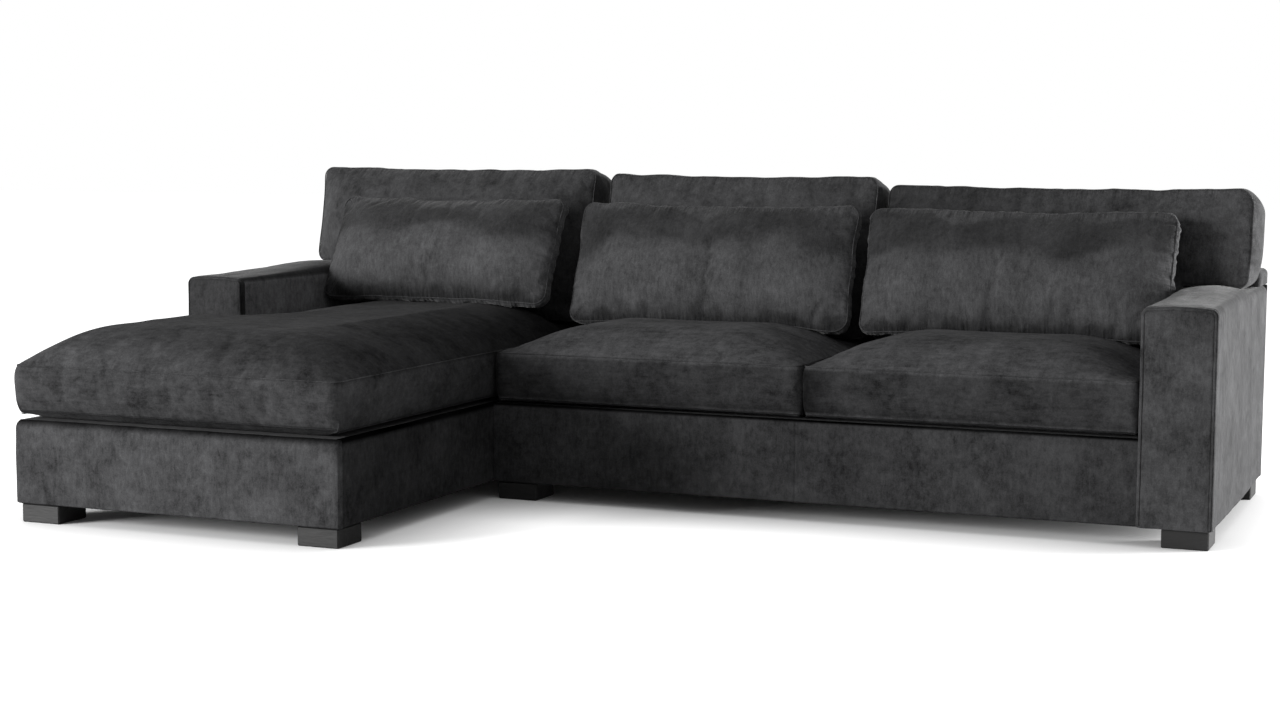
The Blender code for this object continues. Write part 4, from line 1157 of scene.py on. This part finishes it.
def armWrap(low, high, front, lowBottom, highBottom, seed):
    # the arm's cover: a padded band up one side, over the top and down the other
    top, depth = sofa["armTop"], sofa["rear"] - front
    path, normals = cornerPath(
        [(low, lowBottom), (low, top), (high, top), (high, highBottom)],
        [armBand["cornerRadius"]] * 2,
        frameCover["cell"],
    )
    length = pathLength(path)
    size = (length[-1], armBand["thick"], depth)
    block, faces = roundedBlock((0, 0, 0), size, *armBand["edges"], frameCover["cell"], {0: length})
    side = bend(block, path, normals, armBand["thick"])
    points = np.column_stack([side[:, 0], sofa["rear"] - block[:, 2], side[:, 1]])
    # the padding is fullest just in front of the back cushion and is pressed flat under it
    behind = points[:, 1] - front
    crown = armBand["crown"] + armBand["gain"] * easeIn(behind / armBand["gainLength"])
    crown -= armBand["pressed"] * easeIn((points[:, 1] - armBand["pressedFrom"]) / armBand["pressedBlend"])
    points[:, 2] += crown * hump(points, low, high, armBand["crownPower"]) * atTop(points, armBand)
    still = np.minimum(points[:, 1] - front, sofa["rear"] - points[:, 1])
    points = waved(points, faces, frameCover, seed, still)
    upper = easeIn((points[:, 2] - top + armBand["topDepth"]) / armBand["topDepth"])
    behind = points[:, 1] - front
    ends = easeIn(still / frameCover["still"])
    wrinkle = softWaves(points, armBand["wrinkleSize"], seed + 9, armBand["wrinkleStretch"])
    fade = upper * np.exp(-behind / armBand["wrinkleFade"]) * ends
    points[:, 2] += armBand["wrinkle"] * wrinkle * fade
    hanging = softWaves(points, armBand["hangingSize"], seed + 11, armBand["hangingStretch"])
    fade = (1 - upper) * np.exp(-behind / armBand["hangingFade"]) * ends
    points[:, 0] += pointNormals(points, faces)[:, 0] * armBand["hanging"] * hanging * fade
    return points, faces


armFace = {
    # the panel, its grid lines beside the welt, how far it is puffed and its seam's groove
    "thick": 0.020,
    "edges": ((0.018, 0.009, 0.004), (0.018, 0, 0.018)),
    "lines": (0.0035, 0.006, 0.0085, 0.011, 0.016),
    "puff": 0.003,
    "puffSides": 0.07,
    "puffFoot": 0.06,
    "seamInset": 0.007,
    "seamFoot": 0.006,
    "grooveWidth": 0.0028,
    "grooveDepth": 0.002,
    # how the top is crowned, and the welt
    "crown": 0.007,
    "crownPower": 0.7,
    "crownDepth": 0.03,
    "crownBlend": 0.025,
    "weltRise": 0.0065,
    "weltRadius": 0.010,
    "weltCell": 0.012,
    "weltBehind": 0.0006,
}


def armPanel(low, high, front, bottom, seed):
    # the padded panel on the arm's front, with a welt just inside its edge
    def crown(places, height):
        return height * hump(places, low, high, armFace["crownPower"]) * atTop(places, armFace)

    top, rear, lines = sofa["armTop"], front + armFace["thick"], np.array(armFace["lines"])
    points, faces = roundedBlock(
        (low, front, bottom), (high, rear, top), *armFace["edges"], frameCover["cell"],
        {0: np.concatenate([low + lines, high - lines]), 2: top - lines},
    )
    forward = np.clip(-pointNormals(points, faces)[:, 1], 0, 1)
    across = np.minimum(np.minimum(points[:, 0] - low, high - points[:, 0]), top - points[:, 2])
    rise = easeIn((points[:, 2] - bottom) / armFace["puffFoot"])
    puffed = armFace["puff"] * easeIn(across / armFace["puffSides"]) * rise
    off = (across - armFace["seamInset"]) / armFace["grooveWidth"]
    points[:, 1] -= (puffed - armFace["grooveDepth"] * np.exp(-(off ** 2))) * forward
    points[:, 2] += crown(points, armFace["crown"])
    points = waved(points, faces, frameCover, seed, rear - points[:, 1])
    left, right = low + armFace["seamInset"], high - armFace["seamInset"]
    foot, head = bottom + armFace["seamFoot"], top - armFace["seamInset"]
    welt = cordOn(
        [(left, foot), (left, head), (right, head), (right, foot)],
        armFace["weltRadius"], armFace["weltCell"], front + armFace["weltBehind"], -1.0, frameCover["welt"],
        lambda path: crown(path, armFace["weltRise"]),
    )
    return joined([(points, faces), welt])


backCover = {
    "padThick": 0.0257,
    "padEdges": ((0, 0.006, 0.004), (0, 0, 0.004)),
    "padCell": 0.03,
    "rollSlack": 0.0008,
    # edges along the length are these at the front or low side, then at the rear or high side
    "rollFront": (0.014, 0.004),
    "rollRear": (0.008, 0.016),
    "panelFront": (0, 0.004),
    "panelRear": (0.004, 0.003),
    "panelCell": 0.02,
    "panelWaves": {"waves": 0.0005, "ripples": 0.0002},
    "seamInset": 0.012,
    "seamLow": 0.0077,
    "seamTop": 0.010,
    "seamRadius": 0.008,
    "seamProud": 0.0002,
    "seamCord": 0.0016,
}


def backPad(low, high, seed):
    # the raked pad behind the back cushions: an upright block sheared along its rake
    points, faces = roundedBlock(
        (low, 0, sofa["floor"]), (high, backCover["padThick"], sofa["padTop"]),
        *backCover["padEdges"], backCover["padCell"],
    )
    points[:, 1] += sofa["rollFront"] - (sofa["rollTop"] - points[:, 2]) * math.tan(sofa["rake"])
    still = np.minimum(points[:, 0] - low, high - points[:, 0])
    return waved(points, faces, frameCover, seed, still), faces


def topRoll(low, high, seed, lowRound, highRound):
    # the padded rail along the top of the back
    points, faces = roundedBlock(
        (low, sofa["rollFront"], sofa["rollLow"]),
        (high, sofa["back"], sofa["rollTop"] - backCover["rollSlack"]),
        (lowRound, *backCover["rollFront"]), (highRound, *backCover["rollRear"]), frameCover["cell"],
    )
    still = np.minimum(np.abs(points[:, 0] - sofa["split"]), points[:, 2] - sofa["rollLow"])
    return waved(points, faces, frameCover, seed, still), faces


def backPanel(low, high, seed, lowRound, highRound):
    # the outer back: a thin padded panel with a seam just inside its edges
    top = sofa["padTop"]
    points, faces = roundedBlock(
        (low, sofa["panelFront"], sofa["baseLow"]), (high, sofa["back"], top),
        (lowRound, *backCover["panelFront"]), (highRound, *backCover["panelRear"]), backCover["panelCell"],
    )
    still = np.minimum(np.minimum(points[:, 0] - low, high - points[:, 0]), top - points[:, 2])
    points = waved(points, faces, {**frameCover, **backCover["panelWaves"]}, seed, still)
    left, right = low + backCover["seamInset"], high - backCover["seamInset"]
    foot, head = sofa["baseLow"] + backCover["seamLow"], top - backCover["seamTop"]
    cord = cordOn(
        [(left, foot), (left, head), (right, head), (right, foot)], backCover["seamRadius"],
        backCover["panelCell"], sofa["back"] + backCover["seamProud"], 1.0, backCover["seamCord"],
    )
    return joined([(points, faces), cord])


coverNapAndPaintedShade = {
    # how far down from the top of the base a painted shadow darkens its velvet under the seat cushions' edge
    "paintedShadowDepth": {"chaiseFrontCover": 0.022, "chaiseRightCover": 0.020, "seatFrontCover": 0.009},
    "paintedShadow": -0.88,
    "darkest": -0.92,
    "patches": 0.06,
    "patchSize": 0.5,
    # painted light on the left arm's inner side, and painted shade on its top
    "insidePaintedLight": 2.2,
    "armTop": -0.4,
    "armBlend": 0.012,
    "insideBlend": 0.010,
    "insideTop": 0.002,
}


def addCover(name, shape, stands, shade=0.0):
    # one cover of the frame, with its painted shade: its own, the painted shadow band under the seat
    # cushions' edge, and soft random patches of nap tone
    points, faces = shape
    paintedShadowDepth = coverNapAndPaintedShade["paintedShadowDepth"].get(name)
    # a painted shadow darkens the band just under the cover's top
    if paintedShadowDepth:
        down = points[:, 2].max() - points[:, 2]
        shade = shade + coverNapAndPaintedShade["paintedShadow"] * easeIn(1 - down / paintedShadowDepth)
    patches = coverNapAndPaintedShade["patches"] * softWaves(points, coverNapAndPaintedShade["patchSize"], len(name))
    marks = {"napAndPaintedShade": np.maximum(shade, coverNapAndPaintedShade["darkest"]) + patches}
    pile = materials["baseVelvet" if paintedShadowDepth else "uprightVelvet"]
    return addPiece(name, points, faces, pile, "frame", stands, marks=marks)


def leftArmPaintedLight(points, inner):
    # painted light on the side that faces the seat, painted shade on the top, with a soft change between
    blend = coverNapAndPaintedShade["armBlend"]
    inside = easeIn((points[:, 0] - inner + blend) / coverNapAndPaintedShade["insideBlend"])
    inside *= easeIn((sofa["armTop"] - coverNapAndPaintedShade["insideTop"] - points[:, 2]) / blend)
    above = easeIn((points[:, 2] - sofa["armTop"] + blend) / blend)
    return coverNapAndPaintedShade["insidePaintedLight"] * inside * (1 - above) + coverNapAndPaintedShade["armTop"] * above


def dressBase():
    # four padded boards; their last number is a painted shade: lighter on the chaise's front, darker on its
    # right side and on the loveseat's front
    left, split, low, top = sofa["left"], sofa["split"], sofa["baseLow"], sofa["baseTop"]
    far = sofa["right"] - sofa["armWidth"]
    cornerRear = sofa["chaiseFront"] + base["cornerLap"] + gap
    leftSide = baseBlock(
        (left, cornerRear, low), (left + base["thick"], sofa["leftBorderRear"], top), base["leftSide"], 12
    )
    rightSide = baseBlock(
        (split - base["thick"], sofa["rightBorderFront"], low), (split, sofa["rear"], top),
        base["rightSide"], 13,
    )
    seatFront = baseBlock(
        (split + gap, sofa["seatFront"], low), (far - gap, sofa["seatFront"] + base["thick"], top),
        base["seat"], 14, seams=(base["seatSeam"],),
    )
    addCover("chaiseFrontCover", baseFront(), ["chaise_front_border"], 0.09)
    addCover("chaiseLeftCover", leftSide, ["chaise_left_border"])
    addCover("chaiseRightCover", rightSide, ["chaise_right_border"], -0.3)
    addCover("seatFrontCover", seatFront, ["loveseat_front_border"], -0.24)


def dressArms():
    # each arm's band and front panel; the left panel begins on top of the chaise's base, at the height
    # where the seat cushions lie
    left, right, low, floor = sofa["left"], sofa["right"], sofa["baseLow"], sofa["floor"]
    inner, far = left + sofa["armWidth"], right - sofa["armWidth"]
    leftWrap = armWrap(left, inner, sofa["leftWrapFront"], low, sofa["armInnerLow"], 21)
    rightWrap = armWrap(far, right, sofa["rightWrapFront"], sofa["armInnerLow"], low, 22)
    leftPanel = armPanel(left, inner, sofa["leftArmFront"], floor, 23)
    rightPanel = armPanel(far, right, sofa["rightArmFront"], low, 24)
    # the left arm's cover gets painted light on its inner side and painted shade on its top; the left panel's
    # last number is painted shade
    addCover("leftArmCover", leftWrap, ["left_arm_wrap"], leftArmPaintedLight(leftWrap[0], inner))
    addCover("rightArmCover", rightWrap, ["right_arm_wrap"])
    addCover("leftArmPanel", leftPanel, ["left_arm_front_panel"], -0.38)
    addCover("rightArmPanel", rightPanel, ["right_arm_front_panel"])


def dressBack():
    # for each module the raked pad, the roll along the top and the outer panel
    left, split, right = sofa["left"], sofa["split"], sofa["right"]
    inner, far = left + sofa["armWidth"], right - sofa["armWidth"]
    addCover("chaiseBackPad", backPad(inner + gap, split, 31), ["chaise_back_pad"])
    addCover("seatBackPad", backPad(split + gap, far - gap, 32), ["loveseat_back_pad"])
    addCover("chaiseTopRoll", topRoll(left, split, 33, 0.016, 0.003), ["chaise_back_top_roll"])
    addCover("seatTopRoll", topRoll(split + gap, right, 34, 0.003, 0.016), ["loveseat_back_top_roll"])
    addCover("chaiseBackPanel", backPanel(left, split, 35, 0.004, 0.001), ["chaise_back_panel"])
    addCover("seatBackPanel", backPanel(split + gap, right, 36, 0.001, 0.004), ["loveseat_back_panel"])


dressBase()
dressArms()
dressBack()
print("upholstered frame ready")

# The nine loose cushions

cushionCloth = {
    "quality": 5,
    "mass": 0.3,
    "stiffness": 15,
    "shear": 5,
    "bending": 1.5,
    "pressure": 4.0,
    "oversize": 0.010,
    "frames": 16,
    "cap": 0.026,
    # the even part of the swelling: its window, where it is taken back in full, and what stays of it
    "evenWindow": 0.055,
    "evenFrom": 0.06,
    "kept": 0.1,
}
lumbarCloth = {**cushionCloth, "bending": 0.5, "oversize": 0.022, "pressure": 3.0}

# folds: how high, how far apart and how long they are. Folds, tucks, bulges, reach and corner are one
# value for all sides or a list in the order of the corners. The shades are painted light and shade: those
# of the boxing, its foot, its front's two ends and a side that turns to the right, and the panel's, which
# is its value at the lower left and its change across and upward
seatForm = {
    "velvet": "seatVelvet",
    "cell": 0.013, "boxing": 0.145, "boxingRows": 12, "corner": 0.024, "turn": 0.0, "step": 0.0,
    "height": sofa["seatRear"] - sofa["seatFront"],
    "crown": 0.080, "rearCrown": 0.0, "plump": 1.0, "reach": 0.24, "lower": 0.93,
    "pressed": {"length": 0.190, "blend": 0.070, "share": 0.5},
    "draw": (0.004, 0.004), "wander": 0.0012, "gathers": 0.35, "boxingGathers": 0.3,
    "folds": (0.0012, 0.05, 0.05),
    "tucks": [0.013, 0.007, 0.0, 0.007],
    "bulges": [0.014, 0.004, 0.002, 0.004],
    "topShade": (0.35, 0.0, 0.05), "boxingShade": -0.32, "turnShade": 0.3, "footShade": -0.3,
    "welt": 0.0019, "fill": 0.85, "cloth": cushionCloth,
}
backForm = {
    "velvet": "uprightVelvet",
    "cell": 0.012, "boxing": 0.155, "boxingRows": 12, "corner": 0.032, "turn": math.pi / 2 - sofa["rake"],
    "lean": sofa["rake"], "rearCrown": 0.010, "plump": 0.9, "reach": 0.17,
    "draw": (0.007, 0.007), "wander": 0.0025, "gathers": 0.9, "boxingGathers": 0.7,
    "folds": (0.0022, 0.05, 0.05),
    "tucks": 0.0,
    "bulges": [0.002, 0.005, 0.008, 0.005],
    "topShade": (-0.12, 0.0, 0.0), "boxingShade": -0.12, "turnShade": 0.05,
    "welt": 0.0021, "fill": 0.7, "cloth": cushionCloth,
}
lumbarForm = {
    "velvet": "lumbarVelvet",
    "cell": 0.0085, "boxing": 0.030, "boxingRows": 5, "corner": 0.036, "step": 0.0,
    "plump": 0.85, "reach": 0.165,
    "draw": (0.004, 0.011), "wander": 0.003, "gathers": 1.0, "boxingGathers": 1.0,
    "folds": [(0.006, 0.055, 0.032), (0.008, 0.020, 0.026), (0.0022, 0.05, 0.04), (0.0045, 0.022, 0.026)],
    "tucks": 0.0,
    "bulges": [0.005, 0.005, 0.006, 0.005],
    "bands": {"dark": -0.38, "light": 0.30, "under": -0.6}, "turnShade": 0.35,
    "welt": 0.0018, "fill": 0.6, "cloth": lumbarCloth,
}
chaiseLength = sofa["seatRear"] - sofa["chaiseFront"]

# place: where the corner (0, 0) of the form's lower or rear seam lies in the room; notch: the left,
# right, low and high side of the corner that is cut out round an arm
cushions = {
    "chaise_seat_cushion": {
        **seatForm, "piece": "chaiseSeat", "seed": 101,
        "place": (sofa["left"], sofa["chaiseFront"], sofa["floor"]),
        "width": 0.987, "height": chaiseLength, "notch": (0, 0.194, 0.8, chaiseLength), "corner": 0.026,
        "crown": 0.120, "plump": 0.66, "lower": 0.84, "reach": [0.24, 0.26, 0.24, 0.20, 0.20, 0.20],
        "tucks": [0.024, 0.016, 0.0, 0.0, 0.0, 0.013],
        "bulges": [0.010, 0.006, 0.002, 0.001, 0.001, 0.012],
        # painted shade on the chaise top, darker towards the rear and the right corner
        "topShade": (0.14, -0.42, -0.36), "boxingShade": -0.12, "turnShade": -0.15, "footShade": -0.25,
    },
    "middle_seat_cushion": {
        **seatForm, "piece": "middleSeat", "seed": 111,
        "place": (sofa["split"] + 0.004, sofa["seatFront"], sofa["floor"]), "width": 0.9114,
    },
    "right_seat_cushion": {
        **seatForm, "piece": "rightSeat", "seed": 121,
        # painted shade on the front's left end, painted light on its right end
        "place": (0.41594, sofa["seatFront"], sofa["floor"]), "width": 0.8886, "endShade": (-0.38, 0.14),
    },
    "chaise_back_cushion": {
        **backForm, "piece": "chaiseBack", "seed": 131, "place": (sofa["left"] + 0.008, 0.71232, 0.4623),
        "width": 0.978, "height": 0.446, "notch": (0, 0.186, 0, 0.1679), "step": 0.1679, "crown": 0.086,
        "bulges": [0.002, 0.004, 0.008, 0.006, 0.001, 0.001],
    },
    "middle_back_cushion": {
        **backForm, "piece": "middleBack", "seed": 141, "place": (sofa["split"] + 0.005, 0.70715, 0.44132),
        "width": 0.9094, "height": 0.454, "crown": 0.05, "step": 0.0, "drawnTop": 0.042,
    },
    "right_back_cushion": {
        **backForm, "piece": "rightBack", "seed": 151, "place": (0.41694, 0.70698, 0.44106),
        "width": 1.0736, "height": 0.430, "notch": (0.8876, 1.0736, 0, 0.1897), "step": 0.1897,
        "crown": 0.05, "drawnTop": 0.022, "draw": (0.004, 0.007),
        "corner": [0.032, 0.01, 0.01, 0.020, 0.050, 0.032],
        "bulges": [0.002, 0.001, 0.001, 0.018, 0.008, 0.003],
        # painted shadow on the left of the back, lighter towards the right
        "topShade": (-0.45, 0.6, 0.0),
    },
    "chaise_lumbar_cushion": {
        **lumbarForm, "piece": "chaiseLumbar", "seed": 161, "place": (-1.3085, 0.35119, 0.51514),
        "turn": math.radians(63), "width": 0.768, "height": 0.352, "crown": 0.078, "rearCrown": 0.078,
    },
    "middle_lumbar_cushion": {
        **lumbarForm, "piece": "middleLumbar", "seed": 171, "place": (-0.4855, 0.41506, 0.46715),
        "turn": math.radians(71), "width": 0.8754, "height": 0.378, "crown": 0.068, "rearCrown": 0.068,
    },
    "right_lumbar_cushion": {
        **lumbarForm, "piece": "rightLumbar", "seed": 181, "place": (0.42894, 0.41383, 0.46728),
        "turn": math.radians(71), "width": 0.8756, "height": 0.376, "crown": 0.068, "rearCrown": 0.068,
    },
}
for form in cushions.values():
    form["corners"] = outline(form["width"], form["height"], form.get("notch"))

# Painted light and shade on the cushions
paintedShadeShape = {
    # a wave's height and size, and where an edge of a band begins and over what it changes, all in
    # shares of the cushion's height apart from the waves' sizes
    "edgeWave": (0.07, 0.20),
    "patchWave": (0.25, 0.13),
    "underWave": (0.03, 0.05),
    "darkFrom": (0.56, 0.14),
    "darkTo": (0.93, 0.05),
    "lightFrom": (0.0, 0.25),
    "lightTo": (0.35, 0.35),
    "under": (0.0, 0.16),
    "darkest": -0.78,
    # the foot and end shades below are painted shade
    "footHeight": 0.045,     # how high the shade at the foot of a boxing reaches
    "endLength": 0.14,       # how far in from its two ends the front's end shades reach
}


def edgeAt(share, name):
    # the easeIn step from 0 to 1 at a band's edge
    start, change = paintedShadeShape[name]
    return easeIn((share - start) / change)


def bandsOfPaintedShade(flat, form):
    # lumbar cushions: painted shade in a band under the upper rim and painted light below it, partly the
    # nap's own look, and painted shadow along the lower rim where the cover turns under; the bands' edges
    # wander, and each edge is an easeIn step of the height share
    share = flat[:, 1] / form["height"]
    place = np.column_stack([flat, np.zeros(len(flat))])
    names = ("edgeWave", "patchWave", "underWave")
    edge, patches, low = (
        paintedShadeShape[name][0] * softWaves(place, paintedShadeShape[name][1], form["seed"] + 7 + number)
        for number, name in enumerate(names)
    )
    dark = edgeAt(share + edge, "darkFrom") * (1 - edgeAt(share + edge, "darkTo"))
    light = edgeAt(share + edge, "lightFrom") * (1 - edgeAt(share + edge, "lightTo"))
    under = 1 - edgeAt(share + low, "under")
    bands = form["bands"]
    return (bands["dark"] * dark + bands["light"] * light) * (1 + patches) + bands["under"] * under


def paintedShades(grown, faces, flat, form):
    # painted light and shade: on panels a shade that changes evenly across and upward, and a lumbar
    # cushion's bands; on boxing its shade, darker towards its foot and changed at its front's ends; then
    # lighter or darker by the side it turns to
    start, across, upward = form.get("topShade", (0.0, 0.0, 0.0))
    panel = start + flat / (form["width"], form["height"]) @ (across, upward)
    if "bands" in form:
        panel += bandsOfPaintedShade(flat, form)
    normals = pointNormals(grown, faces)
    strip, facing = grown[2 * len(flat):], normals[2 * len(flat):]
    foot = form.get("footShade", 0.0) * (1 - easeIn(strip[:, 2] / paintedShadeShape["footHeight"]))
    first, last = form.get("endShade", (0.0, 0.0))
    length = paintedShadeShape["endLength"]
    ends = first * (1 - easeIn(strip[:, 0] / length))
    ends += last * easeIn((strip[:, 0] - form["width"] + length) / length)
    boxing = form.get("boxingShade", 0.0) + foot + ends * np.clip(-facing[:, 1], 0, 1)
    shade = np.concatenate([panel, panel, boxing]) + form["turnShade"] * normals[:, 0]
    return np.maximum(shade, paintedShadeShape["darkest"])


def cadPoints(node):
    # the points of a CAD node's mesh, at rest
    mesh = nodes[node].data
    found = np.empty(len(mesh.vertices) * 3)
    mesh.vertices.foreach_get("co", found)
    return found.reshape(-1, 3)


def stuffed(cushion, form):
    # the form blown up as cloth; the even part of the swelling goes back, away from the seam, and the
    # wrinkles stay
    points, count, ring = cushion["points"], len(cushion["flat"]), cushion["ring"]
    held = np.zeros(len(points), bool)
    held[ring] = True
    held[ring + count] = True
    if form["rearCrown"] == 0:
        held[count:2 * count] = True
    cloth = form["cloth"]
    grown = swell(form["piece"] + "Stuffing", points, cushion["faces"], held, cloth)
    for side in (slice(0, count), slice(count, 2 * count)):
        moved = grown[side] - points[side]
        even = smoothed(moved, cushion["used"], int(cloth["evenWindow"] / form["cell"]))
        away = easeIn(cushion["inward"] / cloth["evenFrom"])[:, None]
        grown[side] = points[side] + moved - even * away * (1 - cloth["kept"])
    return grown


def matchSolid(grown, count, node, form):
    # the crowns are brought to the CAD solid's heights, so that neighbours still meet, and a back
    # cushion's foot leans back by tan(lean) * depth, which eases off towards its top
    solid = layDown(cadPoints(node), form["turn"], form["place"])
    front, rear, boxing = grown[:count, 2], grown[count:2 * count, 2], form["boxing"]
    wanted = (solid[:, 2].max() - boxing) * form.get("lower", 1.0)
    front[:] = boxing + (front - boxing) * wanted / (front.max() - boxing)
    if form["rearCrown"]:
        rear[:] = rear * solid[:, 2].min() / rear.min()
    if "lean" in form:
        sink = 1 - easeIn((grown[:, 1] - form["step"]) / (form["height"] - form["step"]))
        grown[:, 1] -= math.tan(form["lean"]) * np.clip(grown[:, 2], 0, boxing) * sink


def makeCushion(node, form):
    # a stuffed cover with a welt along each of its two seams, which looks out and up or down
    cushion = cushionForm(form)
    faces, count, ring = cushion["faces"], len(cushion["flat"]), cushion["ring"]
    grown = stuffed(cushion, form)
    matchSolid(grown, count, node, form)
    parts, marks = [(grown, faces)], [cushion["seamPlace"]]
    shades = [paintedShades(grown, faces, cushion["flat"], form)]
    # the lower welt takes twice the boxing foot's painted shade
    for rim, up, shade in ((ring, 1.0, 0.0), (ring + count, -1.0, 2 * form.get("footShade", 0.0))):
        path = grown[rim]
        facing = (awayFrom(path) + (0, 0, up)) * seamShape["weltSlope"]
        tube = seamTube(path + facing * seamShape["weltProud"], facing, form["welt"])
        parts.append(tube)
        marks.append(np.zeros((len(tube[0]), 3)))
        shades.append(np.full(len(tube[0]), shade))
    points, faces = joined(parts)
    points = standUp(points, form["turn"], form["place"])
    return addPiece(
        form["piece"], points, faces, materials[form["velvet"]], node, [node],
        smooth=1,
        marks={"seamPlace": np.concatenate(marks), "napAndPaintedShade": np.concatenate(shades)},
    )


for node, form in cushions.items():
    makeCushion(node, form)
print("cushions ready")
